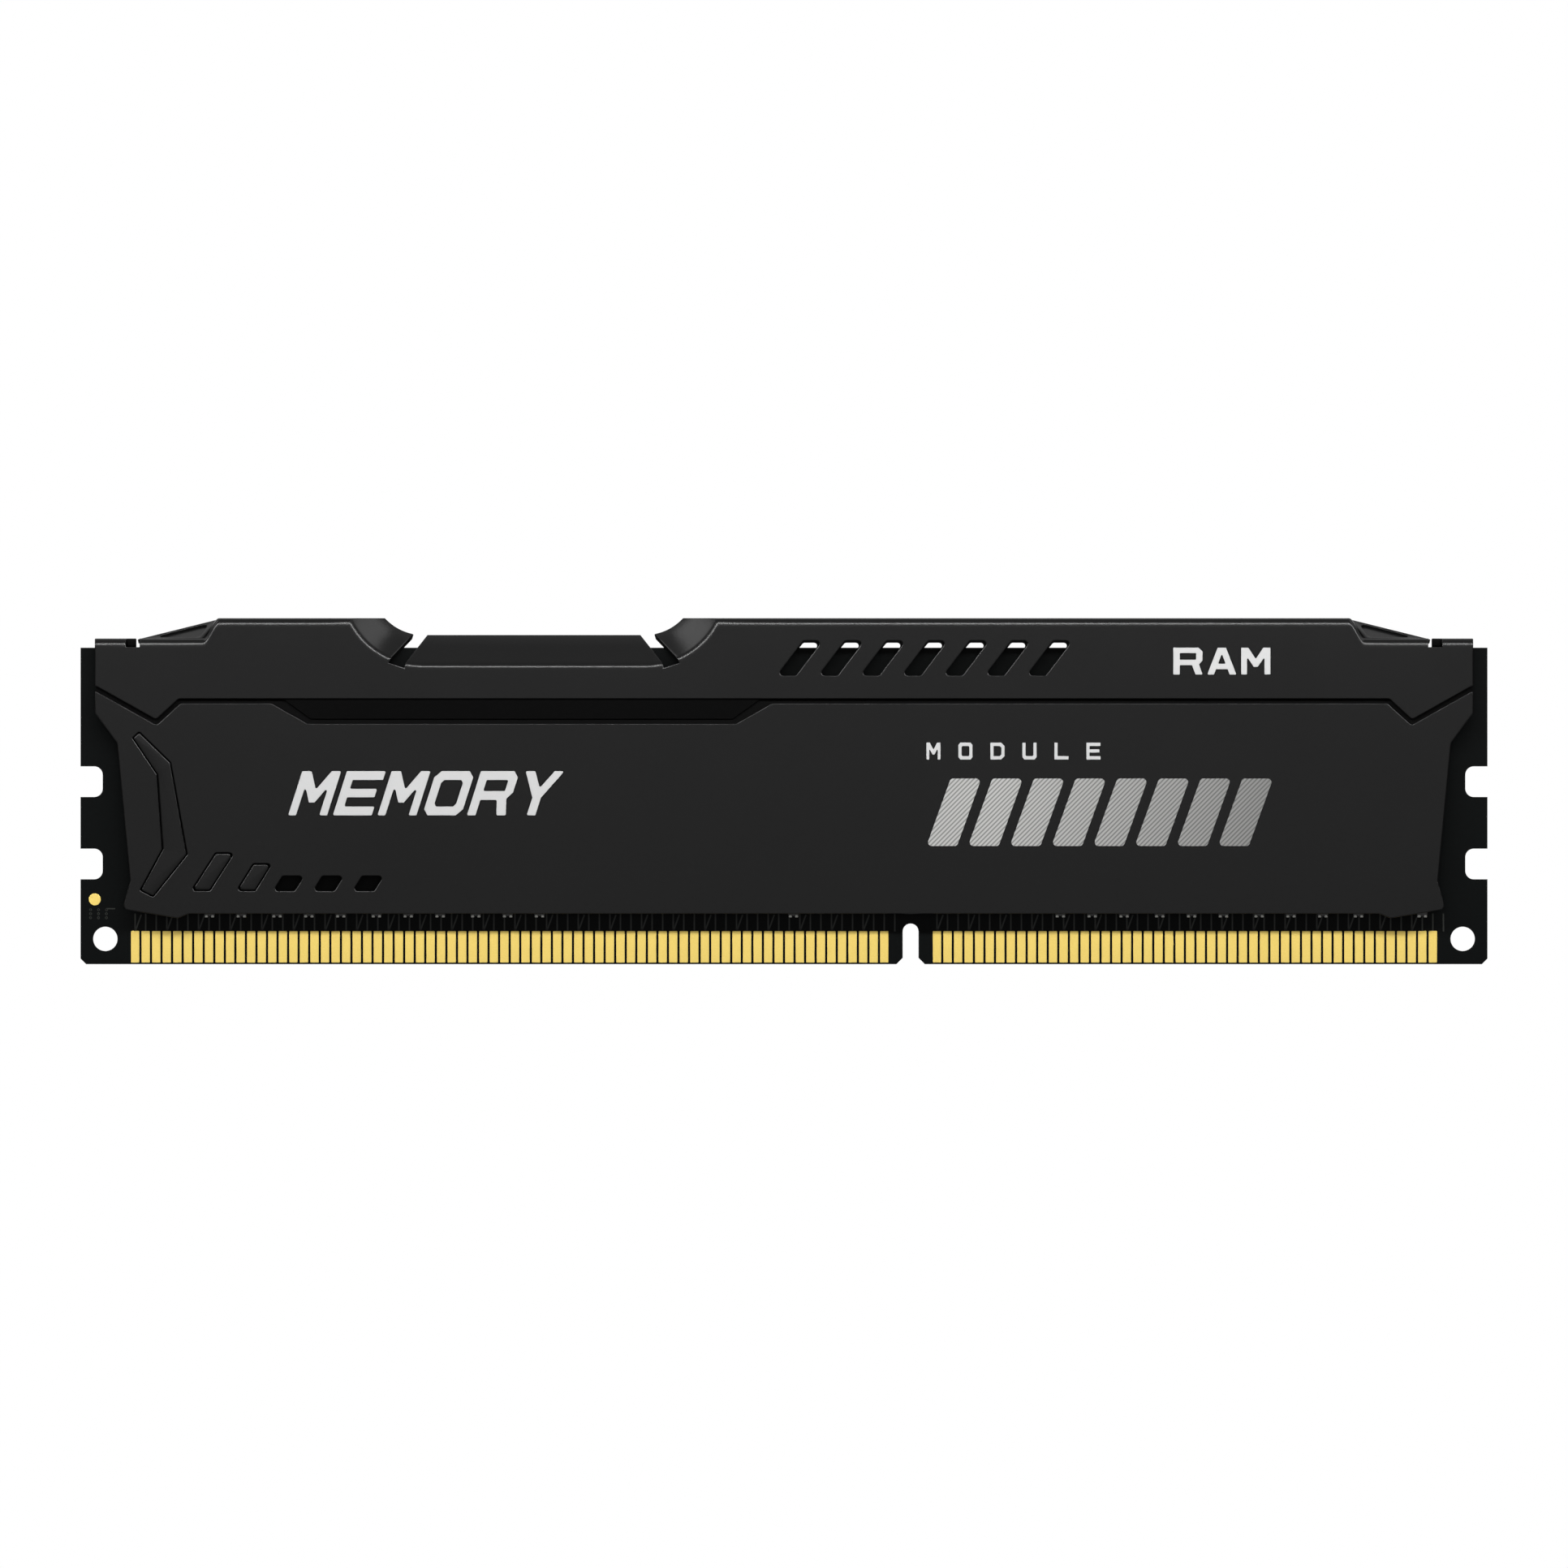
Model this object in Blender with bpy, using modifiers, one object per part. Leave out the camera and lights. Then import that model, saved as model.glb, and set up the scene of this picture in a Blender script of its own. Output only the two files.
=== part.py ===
"""A 240-contact desktop memory module with a two-piece stamped heat spreader.

Metres, +Z up. The module stands on its contact edge, as it does in its socket: the origin is the middle
of that edge, +X runs along the board and -Y points out of the front face. Every solid is one real piece.
"""

import math

import bmesh
import bpy
from mathutils import Matrix, Vector

MM = 0.001
FIT_GAP = 0.02 * MM          # between two pieces that touch face to face

# Board
BOARD_LENGTH = 133.35 * MM
BOARD_HEIGHT = 30.0 * MM
BOARD_THICKNESS = 1.27 * MM
BOARD_CORNER_CUT = 0.45 * MM
LATCH_NOTCH_LEVELS = (9.5 * MM, 17.3 * MM)
LATCH_NOTCH_HEIGHT = 2.9 * MM
LATCH_NOTCH_DEPTH = 2.1 * MM
LATCH_NOTCH_RADIUS = 0.8 * MM
HOLE_DIAMETER = 2.3 * MM
HOLE_INSET = 2.35 * MM       # from the board's end
HOLE_LEVEL = 2.4 * MM
KEY_WIDTH = 1.5 * MM
KEY_DEPTH = 3.85 * MM
KEY_FLARE = 0.6 * MM

# Edge contacts
CONTACT_PITCH = 1.0 * MM
CONTACT_WIDTH = 0.8 * MM
CONTACT_LENGTH = 3.0 * MM
CONTACT_LIFT = 0.15 * MM     # from the board's lower edge
CONTACT_PLATING = 0.05 * MM
CONTACT_TIE = 0.1 * MM       # strip that joins one row at its upper end
CONTACT_END_MARGIN = 5.175 * MM
CONTACT_KEY_SPAN = 5.0 * MM  # between the two contacts beside the key
LONG_ROW_SHARE = 0.6         # of one face's contacts

# Memory chips, their solder height and the pad that presses on them
CHIPS_PER_SIDE = 8
CHIP_WIDTH = 9.0 * MM
CHIP_HEIGHT = 10.5 * MM
CHIP_THICKNESS = 0.9 * MM
CHIP_STANDOFF = 0.3 * MM
CHIP_BEVEL = 0.08 * MM
CHIP_END_MARGIN = 10.7 * MM  # board's end to the last chip's centre
CHIP_PITCH = 13.2 * MM       # between the centres of neighbouring chips
PAD_THICKNESS = 0.8 * MM
PAD_OVERHANG = 0.3 * MM

# Small parts on the board
ARRAY_WIDTH = 1.0 * MM
ARRAY_HEIGHT = 1.0 * MM
ARRAY_THICKNESS = 0.35 * MM
ARRAY_DROP = 0.35 * MM       # how far the arrays' feet show below the spreader
ARRAYS_PER_GROUP = 3
ARRAY_SPACING = 3.02 * MM
GROUPS_PER_HALF = 4
GROUP_PITCH = 9.42 * MM
GROUP_END_MARGIN = 9.2 * MM  # board's end to the last group's middle
MIDDLE_ARRAY_X = 0.9 * MM
EMPTY_ARRAY_SITES = (0, 23)  # counted from the left
SPD_SIZE = (3.0 * MM, 0.75 * MM, 2.0 * MM)
CAPACITOR_SIZE = (0.8 * MM, 0.7 * MM, 1.6 * MM)
CAPACITORS_PER_HALF = 3
SMALL_PART_DROP = 7.6 * MM   # below the board's upper edge

# Heat spreader
SHEET = 0.8 * MM
SEAM = 0.2 * MM              # between the two halves over the board
BEND_RADIUS = 0.6 * MM
SPREADER_INSET = 1.35 * MM   # from the board's ends
SPREADER_RISE = 2.8 * MM     # over the board's upper edge
SHELF_CLEARANCE = 0.07 * MM  # between the end shelves and the board
BOARD_SLOT_CLEARANCE = 0.16 * MM
SPREADER_FOOT = 1.63 * MM    # above the contacts
TOE_DROP = 0.43 * MM
RIDGE_INSET = 11.55 * MM     # spreader's end to the end of its high ridge
RAMP_LENGTH = 7.35 * MM
RAMP_FRONT_INSET = 10.3 * MM
RAMP_WALL_LEAN = 0.65 * MM
NOTCH_START = 2.95 * MM      # spreader's end to the hook notch
NOTCH_WIDTH = 1.3 * MM
HOOK_WIDTH = 0.95 * MM
HOOK_SIDE_GAP = 0.05 * MM
HOOK_REACH = 2.3 * MM        # past the board's middle plane

# Finger dip in the ridge
DIP_CENTER_X = -23.7 * MM
DIP_FLAT = 21.0 * MM
DIP_RADIUS = 7.75 * MM
DIP_DEPTH = 4.43 * MM        # below the ridge, at the face
DIP_SLOPE_RISE = 2.87 * MM   # from the face to the middle plane
DIP_SEGMENTS = 40
DIP_CUT_WIDTH = 1.2 * MM
DIP_CUT_LEAN = math.radians(50)
DIP_CUT_INSET = 13.0 * MM    # dip's middle to the cut's middle, at its lower end
DIP_CUT_DROP = 0.15 * MM     # below the dip's flat edge

# Reliefs pressed into the face
RELIEF_DEPTH = 0.4 * MM
GROOVE_WIDTH = 0.4 * MM
BAND_DROP = 5.05 * MM        # groove's middle below the board's upper edge
VALLEY_DROP = 2.0 * MM       # V below the groove's level run
GROOVE_END_RISE = 1.25 * MM
VALLEY_INSET = 5.75 * MM
GROOVE_BEND_INSET = 7.9 * MM
WINDOW_LEFT = -48.5 * MM
WINDOW_RIGHT = -1.2 * MM
WINDOW_DROP = 1.95 * MM
WINDOW_SLANT = 3.4 * MM
EMBOSS = 0.125 * MM
EMBOSS_ROOT = 0.2 * MM       # how deep a raised shape runs into the sheet
VENT_COUNT = 7
VENT_FIRST_X = -0.5 * MM
VENT_PITCH = 3.945 * MM
VENT_WIDTH = 1.62 * MM
VENT_SLANT = 2.45 * MM
VENT_HEIGHT = 3.25 * MM
VENT_RISE = 0.6 * MM         # above the board's upper edge
PORT_COUNT = 3
PORT_INSET = 17.15 * MM
PORT_PITCH = 3.8 * MM
PORT_WIDTH = 1.75 * MM
PORT_SLANT = 0.75 * MM
PORT_HEIGHT = 1.35 * MM
PORT_RADIUS = 0.25 * MM
PORT_LIFT = 2.2 * MM         # above the spreader's foot
BADGE_LIFT = 2.22 * MM
BADGE_WIDTH = 1.65 * MM

# Sticker on the back
LABEL_SIZE = (46.0 * MM, 12.0 * MM)
LABEL_THICKNESS = 0.08 * MM
LABEL_X = 22.0 * MM

# Worked out from the sizes above
BOARD_FACE = BOARD_THICKNESS / 2
BOARD_END = BOARD_LENGTH / 2
CONTACT_TOP = CONTACT_LIFT + CONTACT_LENGTH
CHIP_FACE = BOARD_FACE + CHIP_STANDOFF + CHIP_THICKNESS
SHEET_INSIDE = CHIP_FACE + FIT_GAP + PAD_THICKNESS + FIT_GAP
SHEET_FACE = SHEET_INSIDE + SHEET
FOOT_Z = CONTACT_TOP + SPREADER_FOOT
BAND_Z = BOARD_HEIGHT - BAND_DROP
SPREADER_END = BOARD_END - SPREADER_INSET
RIDGE_Z = BOARD_HEIGHT + SPREADER_RISE
SHELF_Z = BOARD_HEIGHT + SHELF_CLEARANCE + SHEET
RIDGE_END = SPREADER_END - RIDGE_INSET
RAMP_FOOT = RIDGE_END + RAMP_LENGTH
RAMP_FRONT_FOOT = SPREADER_END - RAMP_FRONT_INSET
CHIP_LEVEL = (FOOT_Z + BAND_Z) / 2
CONTACTS = int((BOARD_LENGTH - 2 * CONTACT_END_MARGIN - CONTACT_KEY_SPAN) / CONTACT_PITCH + 1e-6) + 2
LONG_ROW = round(CONTACTS * LONG_ROW_SHARE)
SHORT_ROW = CONTACTS - LONG_ROW
ROWS_LENGTH = (CONTACTS - 2) * CONTACT_PITCH + CONTACT_KEY_SPAN
LONG_ROW_X = -ROWS_LENGTH / 2
SHORT_ROW_X = LONG_ROW_X + (LONG_ROW - 1) * CONTACT_PITCH + CONTACT_KEY_SPAN
KEY_X = SHORT_ROW_X - CONTACT_KEY_SPAN / 2


def clear_scene():
    for obj in list(bpy.data.objects):
        bpy.data.objects.remove(obj)


def new_collection(name):
    made = bpy.data.collections.new(name)
    bpy.context.scene.collection.children.link(made)
    return made


def finish(name, color, roughness, metallic):
    """A Principled material. color is linear RGB."""
    made = bpy.data.materials.new(name)
    made.use_nodes = True
    shader = made.node_tree.nodes["Principled BSDF"]
    shader.inputs["Base Color"].default_value = (*color, 1)
    shader.inputs["Roughness"].default_value = roughness
    shader.inputs["Metallic"].default_value = metallic
    return made


def arc(center, radius, start, end, steps=4):
    """Points on a circle from the angle start to the angle end, in degrees."""
    angles = [math.radians(start + (end - start) * i / steps) for i in range(steps + 1)]
    return [(center[0] + radius * math.cos(a), center[1] + radius * math.sin(a)) for a in angles]


def rounded(corners, radius, steps=3):
    """The outline with each corner replaced by an arc of that radius."""
    points = []
    for i, corner in enumerate(corners):
        here = Vector(corner)
        back = (Vector(corners[i - 1]) - here).normalized()
        ahead = (Vector(corners[(i + 1) % len(corners)]) - here).normalized()
        half = back.angle(ahead) / 2
        middle = here + (back + ahead).normalized() * radius / math.sin(half)
        first = here + back * radius / math.tan(half) - middle
        last = here + ahead * radius / math.tan(half) - middle
        turn = first.angle_signed(last)
        for k in range(steps + 1):
            spoke = first.copy()
            spoke.rotate(Matrix.Rotation(-turn * k / steps, 2))
            points.append(tuple(middle + spoke))
    return points


def slanted(left, bottom, width, height, slant):
    """A parallelogram that leans towards +X."""
    return [
        (left, bottom),
        (left + width, bottom),
        (left + width + slant, bottom + height),
        (left + slant, bottom + height),
    ]


def mirrored(points):
    """The outline's right half, given from the top down, followed by its left half."""
    return points + [(-x, z) for x, z in reversed(points)]


def offset_path(points, distance):
    """The open path moved to its left by distance, with mitred corners."""
    moved = []
    for i, point in enumerate(points):
        here = Vector(point)
        ahead = (Vector(points[min(i + 1, len(points) - 1)]) - here) if i + 1 < len(points) else None
        behind = (here - Vector(points[i - 1])) if i else ahead
        ahead = ahead or behind
        normals = [Vector((-step.y, step.x)).normalized() for step in (behind, ahead)]
        middle = (normals[0] + normals[1]).normalized()
        moved.append(tuple(here + middle * distance / middle.dot(normals[0])))
    return moved


def plate(name, outlines, depth_from, depth_to, collection, material=None, along="Y"):
    """A flat piece between two depths. Its outlines, the first solid and the others holes, are in X and Z.

    With along="X" the outlines are in Y and Z and the depths in X.
    """
    curve = bpy.data.curves.new(name, "CURVE")
    curve.dimensions = "2D"
    curve.fill_mode = "BOTH"
    curve.extrude = (depth_to - depth_from) / 2
    for outline in outlines:
        spline = curve.splines.new("POLY")
        spline.points.add(len(outline) - 1)
        for point, (x, z) in zip(spline.points, outline):
            point.co = (x, z, 0, 1)
        spline.use_cyclic_u = True
    flat = bpy.data.objects.new(name, curve)
    middle = (depth_from + depth_to) / 2
    flat.location = (middle, 0, 0) if along == "X" else (0, middle, 0)
    flat.rotation_euler = (math.pi / 2, 0, math.pi / 2 if along == "X" else 0)
    bpy.context.scene.collection.objects.link(flat)
    made = as_mesh(flat, collection)
    if material:
        made.data.materials.append(material)
    return made


def as_mesh(source, collection):
    """The evaluated object as a plain mesh object of the same name, in the same place."""
    name = source.name
    bpy.context.view_layer.update()
    evaluated = source.evaluated_get(bpy.context.evaluated_depsgraph_get())
    mesh = bpy.data.meshes.new_from_object(evaluated)
    weld(mesh)
    made = bpy.data.objects.new(name, mesh)
    made.matrix_world = source.matrix_world
    bpy.data.objects.remove(source)
    made.name = name
    collection.objects.link(made)
    return made


def weld(mesh):
    work = bmesh.new()
    work.from_mesh(mesh)
    bmesh.ops.remove_doubles(work, verts=work.verts, dist=1e-7)
    work.to_mesh(mesh)
    work.free()


def box(name, low, high, collection, material=None, bevel=0.0):
    """A block between two corners, with its edges bevelled if asked."""
    bpy.ops.mesh.primitive_cube_add(size=1)
    made = bpy.context.active_object
    made.name = name
    made.location = (Vector(low) + Vector(high)) / 2
    made.data.transform(Matrix.Diagonal((*(Vector(high) - Vector(low)), 1)))
    move_to(made, collection)
    if material:
        made.data.materials.append(material)
    if bevel:
        rounding = made.modifiers.new("edges", "BEVEL")
        rounding.width = bevel
        rounding.segments = 1
    return made


def move_to(obj, collection):
    for other in obj.users_collection:
        other.objects.unlink(obj)
    collection.objects.link(obj)


def join_or_cut(target, tool, operation):
    """Adds a Boolean of that operation and turns the tool into a hidden helper."""
    change = target.modifiers.new(tool.name, "BOOLEAN")
    change.operation = operation
    change.object = tool
    change.solver = "EXACT"
    tool.hide_render = True
    tool.display_type = "WIRE"


def board_outline():
    """The board's edge, with its latch notches, cut corners and key slot."""
    right = [(BOARD_END, BOARD_HEIGHT)]
    for level in reversed(LATCH_NOTCH_LEVELS):
        top = level + LATCH_NOTCH_HEIGHT / 2
        bottom = level - LATCH_NOTCH_HEIGHT / 2
        center_x = BOARD_END - LATCH_NOTCH_DEPTH + LATCH_NOTCH_RADIUS
        right.append((BOARD_END, top))
        right += arc((center_x, top - LATCH_NOTCH_RADIUS), LATCH_NOTCH_RADIUS, 90, 180)
        right += arc((center_x, bottom + LATCH_NOTCH_RADIUS), LATCH_NOTCH_RADIUS, 180, 270)
        right.append((BOARD_END, bottom))
    right += [(BOARD_END, BOARD_CORNER_CUT), (BOARD_END - BOARD_CORNER_CUT, 0)]
    left = [(-x, z) for x, z in reversed(right)]
    half = KEY_WIDTH / 2
    key = [(KEY_X + half + KEY_FLARE, 0), (KEY_X + half, KEY_FLARE)]
    key += arc((KEY_X, KEY_DEPTH - half), half, 0, 180, 8)
    key += [(KEY_X - half, KEY_FLARE), (KEY_X - half - KEY_FLARE, 0)]
    return right + key + left


def make_board(parts, material):
    hole_x = BOARD_END - HOLE_INSET
    holes = [arc((x, HOLE_LEVEL), HOLE_DIAMETER / 2, 0, 345, 23) for x in (-hole_x, hole_x)]
    plate("circuit_board", [board_outline(), *holes], -BOARD_FACE, BOARD_FACE, parts, material)


def make_contact_row(name, first_x, count, side, parts, material):
    """One row of contact pads on one face, joined by a thin tie along its upper end."""
    pad_top = CONTACT_TOP - CONTACT_TIE
    half = CONTACT_WIDTH / 2
    last_x = first_x + (count - 1) * CONTACT_PITCH
    comb = [(last_x + half, CONTACT_TOP), (first_x - half, CONTACT_TOP)]
    for i in range(count):
        x = first_x + i * CONTACT_PITCH
        if i:
            comb.append((x - half, pad_top))
        comb += [(x - half, CONTACT_LIFT), (x + half, CONTACT_LIFT)]
        if i < count - 1:
            comb.append((x + half, pad_top))
    inside = BOARD_FACE + FIT_GAP / 2
    depths = sorted((side * inside, side * (inside + CONTACT_PLATING)))
    plate(name, [comb], *depths, parts, material)


def make_contacts(parts, material):
    for side, face in ((-1, "front"), (1, "back")):
        make_contact_row(f"{face}_contacts_long_row", LONG_ROW_X, LONG_ROW, side, parts, material)
        make_contact_row(f"{face}_contacts_short_row", SHORT_ROW_X, SHORT_ROW, side, parts, material)


def chip_places():
    """The chips' centres along the board, four in each half when there are eight."""
    outer = BOARD_END - CHIP_END_MARGIN
    half = [outer - i * CHIP_PITCH for i in range(CHIPS_PER_SIDE // 2)]
    return sorted([-x for x in half] + half)


def make_chips(parts, material):
    for side, face in ((-1, "front"), (1, "back")):
        inside, outside = sorted((side * (BOARD_FACE + CHIP_STANDOFF), side * CHIP_FACE))
        for i, x in enumerate(chip_places()):
            low = (x - CHIP_WIDTH / 2, inside, CHIP_LEVEL - CHIP_HEIGHT / 2)
            high = (x + CHIP_WIDTH / 2, outside, CHIP_LEVEL + CHIP_HEIGHT / 2)
            box(f"{face}_memory_chip_{i + 1}", low, high, parts, material, CHIP_BEVEL)


def make_thermal_pads(parts, material):
    reach_x = max(chip_places()) + CHIP_WIDTH / 2 + PAD_OVERHANG
    reach_z = CHIP_HEIGHT / 2 + PAD_OVERHANG
    for side, face in ((-1, "front"), (1, "back")):
        depths = (side * (CHIP_FACE + FIT_GAP), side * (CHIP_FACE + FIT_GAP + PAD_THICKNESS))
        low = (-reach_x, min(depths), CHIP_LEVEL - reach_z)
        high = (reach_x, max(depths), CHIP_LEVEL + reach_z)
        box(f"{face}_thermal_pad", low, high, parts, material)


def array_places():
    """Resistor arrays sit in threes above the data contacts, with one more near the middle."""
    sites = [MIDDLE_ARRAY_X]
    for group in range(GROUPS_PER_HALF):
        middle = BOARD_END - GROUP_END_MARGIN - group * GROUP_PITCH
        for k in range(ARRAYS_PER_GROUP):
            step = (k - (ARRAYS_PER_GROUP - 1) / 2) * ARRAY_SPACING
            sites += [middle + step, ARRAY_SPACING - middle - step]
    return [x for i, x in enumerate(sorted(sites)) if i not in EMPTY_ARRAY_SITES]


def make_small_parts(parts, ceramic, plastic):
    bottom = FOOT_Z - ARRAY_DROP
    seat = -(BOARD_FACE + FIT_GAP)
    for i, x in enumerate(array_places()):
        low = (x - ARRAY_WIDTH / 2, seat - ARRAY_THICKNESS, bottom)
        high = (x + ARRAY_WIDTH / 2, seat, bottom + ARRAY_HEIGHT)
        box(f"resistor_array_{i + 1:02d}", low, high, parts, ceramic)
    level = BOARD_HEIGHT - SMALL_PART_DROP
    width, thickness, height = SPD_SIZE
    low = (MIDDLE_ARRAY_X - width / 2, seat - thickness, level - height / 2)
    high = (MIDDLE_ARRAY_X + width / 2, seat, level + height / 2)
    box("identification_memory_chip", low, high, parts, plastic, CHIP_BEVEL)
    width, thickness, height = CAPACITOR_SIZE
    chips = chip_places()
    between = [(a + b) / 2 for a, b in zip(chips, chips[1:])]
    middle = len(between) // 2
    chosen = between[middle - CAPACITORS_PER_HALF:middle] + between[middle + 1:middle + 1 + CAPACITORS_PER_HALF]
    for i, x in enumerate(chosen):
        low = (x - width / 2, seat - thickness, CHIP_LEVEL - height / 2)
        high = (x + width / 2, seat, CHIP_LEVEL + height / 2)
        box(f"decoupling_capacitor_{i + 1}", low, high, parts, ceramic)


def spreader_outline():
    """The spreader's blank before its top is shaped: waisted sides and two toes below."""
    shoulder = BAND_Z - 1.1 * MM
    waist = BAND_Z - 3.95 * MM
    ankle = FOOT_Z + 3.1 * MM
    return mirrored([
        (SPREADER_END, RIDGE_Z),
        (SPREADER_END, shoulder),
        (SPREADER_END - 2.1 * MM, waist),
        (SPREADER_END - 3.35 * MM, ankle),
        (SPREADER_END - 2.65 * MM, FOOT_Z + 0.5 * MM),
        (SPREADER_END - 2.85 * MM, FOOT_Z + 0.3 * MM),
        (SPREADER_END - 7.85 * MM, FOOT_Z - TOE_DROP),
        (SPREADER_END - 8.9 * MM, FOOT_Z),
    ])


def bend_body(name, start, end, top, collection):
    """What a rounded bend takes off the edge between the face and a flange at that level."""
    outside = -SHEET_FACE - 1 * MM
    middle = (BEND_RADIUS - SHEET_FACE, top - BEND_RADIUS)
    profile = arc(middle, BEND_RADIUS, 90, 180)
    profile += [(outside, middle[1]), (outside, top + 1 * MM), (middle[0], top + 1 * MM)]
    return plate(name, [profile], start, end, collection, along="X")


def dip_body(name, growth, collection):
    """The round-ended dip, narrowing from the face to the middle plane. growth moves its wall outwards."""
    slope = DIP_SLOPE_RISE / SHEET_FACE
    center_z = RIDGE_Z - DIP_DEPTH + DIP_RADIUS
    mesh = bpy.data.meshes.new(name)
    work = bmesh.new()
    for depth in (-SHEET_FACE - 1 * MM, 1 * MM):
        radius = DIP_RADIUS + growth - slope * (depth + SHEET_FACE)
        for center_x in (DIP_CENTER_X - DIP_FLAT / 2, DIP_CENTER_X + DIP_FLAT / 2):
            for i in range(DIP_SEGMENTS):
                angle = math.tau * i / DIP_SEGMENTS
                work.verts.new((center_x + radius * math.sin(angle), depth, center_z - radius * math.cos(angle)))
    hull = bmesh.ops.convex_hull(work, input=work.verts)
    bmesh.ops.delete(work, geom=list(set(hull["geom_interior"])), context="VERTS")
    bmesh.ops.recalc_face_normals(work, faces=work.faces)
    work.to_mesh(mesh)
    work.free()
    made = bpy.data.objects.new(name, mesh)
    collection.objects.link(made)
    return made


def ramp_body(name, side, growth, collection):
    """What lies above one end's shelf and its three-cornered ramp facet. growth thickens it all round."""
    made = box(
        name,
        (RIDGE_END - 4 * MM, -SHEET_FACE - 1 * MM, SHELF_Z - growth),
        (BOARD_END, 1 * MM, RIDGE_Z + 2 * MM),
        collection,
    )
    ridge_tip = Vector((RIDGE_END, 0, RIDGE_Z))
    ramp_foot = Vector((RAMP_FOOT, 0, SHELF_Z))
    front_foot = Vector((RAMP_FRONT_FOOT, BEND_RADIUS - SHEET_FACE, SHELF_Z))
    facet = (ramp_foot - ridge_tip).cross(front_foot - ridge_tip).normalized()
    wall_top = Vector((RIDGE_END + 0.05 * MM, 0, RIDGE_Z))
    wall_foot = Vector((RIDGE_END + RAMP_WALL_LEAN, 0, SHELF_Z))
    wall = (wall_foot - wall_top).cross(Vector((0, 1, 0))).normalized()
    work = bmesh.new()
    work.from_mesh(made.data)
    bmesh.ops.transform(work, matrix=Matrix.Translation(made.location), verts=work.verts)
    for point, normal in ((ridge_tip, facet), (wall_top, wall)):
        if normal.dot(Vector((1, 0, 1))) < 0:
            normal = -normal
        everything = work.verts[:] + work.edges[:] + work.faces[:]
        bmesh.ops.bisect_plane(
            work, geom=everything, plane_co=point - normal * growth, plane_no=normal,
            clear_inner=True, dist=1e-7,
        )
        bmesh.ops.holes_fill(work, edges=work.edges)
    bmesh.ops.transform(work, matrix=Matrix.Diagonal((side, 1, 1, 1)), verts=work.verts)
    bmesh.ops.recalc_face_normals(work, faces=work.faces)
    work.to_mesh(made.data)
    work.free()
    made.location = (0, 0, 0)
    return made


def groove_outline():
    """The sunk line between band and panel, with a V near each end."""
    end = SPREADER_END + 1 * MM
    path = [
        (end, BAND_Z + GROOVE_END_RISE + (end - SPREADER_END) * 0.56),
        (SPREADER_END - VALLEY_INSET, BAND_Z - VALLEY_DROP),
        (SPREADER_END - GROOVE_BEND_INSET, BAND_Z),
    ]
    path = mirrored(path)
    return offset_path(path, GROOVE_WIDTH / 2) + offset_path(path, -GROOVE_WIDTH / 2)[::-1]


def window_outline():
    """The long shallow recess that hangs from the groove."""
    top = BAND_Z + GROOVE_WIDTH / 4
    bottom = BAND_Z - WINDOW_DROP - GROOVE_WIDTH / 2
    slant = WINDOW_SLANT * (top - bottom) / WINDOW_DROP
    return [(WINDOW_LEFT, top), (WINDOW_LEFT + slant, bottom), (WINDOW_RIGHT - slant, bottom), (WINDOW_RIGHT, top)]


def vents():
    bottom = BOARD_HEIGHT + VENT_RISE - VENT_HEIGHT
    for i in range(VENT_COUNT):
        left = VENT_FIRST_X + i * VENT_PITCH
        yield rounded(slanted(left, bottom, VENT_WIDTH, VENT_HEIGHT, VENT_SLANT), PORT_RADIUS)


def ports():
    for i in range(PORT_COUNT):
        left = -SPREADER_END + PORT_INSET + i * PORT_PITCH
        yield rounded(slanted(left, FOOT_Z + PORT_LIFT, PORT_WIDTH, PORT_HEIGHT, PORT_SLANT), PORT_RADIUS)


def badges():
    """The raised shapes at the left: a bent blade and two leaning bars."""
    edge = -SPREADER_END
    panel = BAND_Z - FOOT_Z

    def at(inset, share):
        return edge + inset * MM, FOOT_Z + share * panel

    yield [
        at(4.21, 0.850), at(3.62, 0.827), at(5.90, 0.658), at(6.45, 0.306),
        at(4.28, 0.113), at(5.45, 0.084), at(8.72, 0.280), at(7.22, 0.707),
    ]
    for inset, height, slant in ((9.12, 3.53, 2.33), (13.5, 2.5, 1.55)):
        yield slanted(edge + inset * MM, FOOT_Z + BADGE_LIFT, BADGE_WIDTH, height * MM, slant * MM)


def dip_cuts(cutters):
    """Two leaning cuts that part the dip's middle flap from its rounded ends."""
    floor = RIDGE_Z - DIP_DEPTH - DIP_CUT_DROP
    width = DIP_CUT_WIDTH / math.sin(DIP_CUT_LEAN)
    for side, label in ((-1, "left"), (1, "right")):
        middle = DIP_CENTER_X + side * DIP_CUT_INSET
        slot = slanted(-width / 2, floor, width, 6 * MM, 6 * MM / math.tan(DIP_CUT_LEAN))
        slot = [(middle - side * x, z) for x, z in slot]
        yield plate(f"dip_cut_{label}", [slot], -SHEET_FACE - 1 * MM, 1 * MM, cutters)


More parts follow.
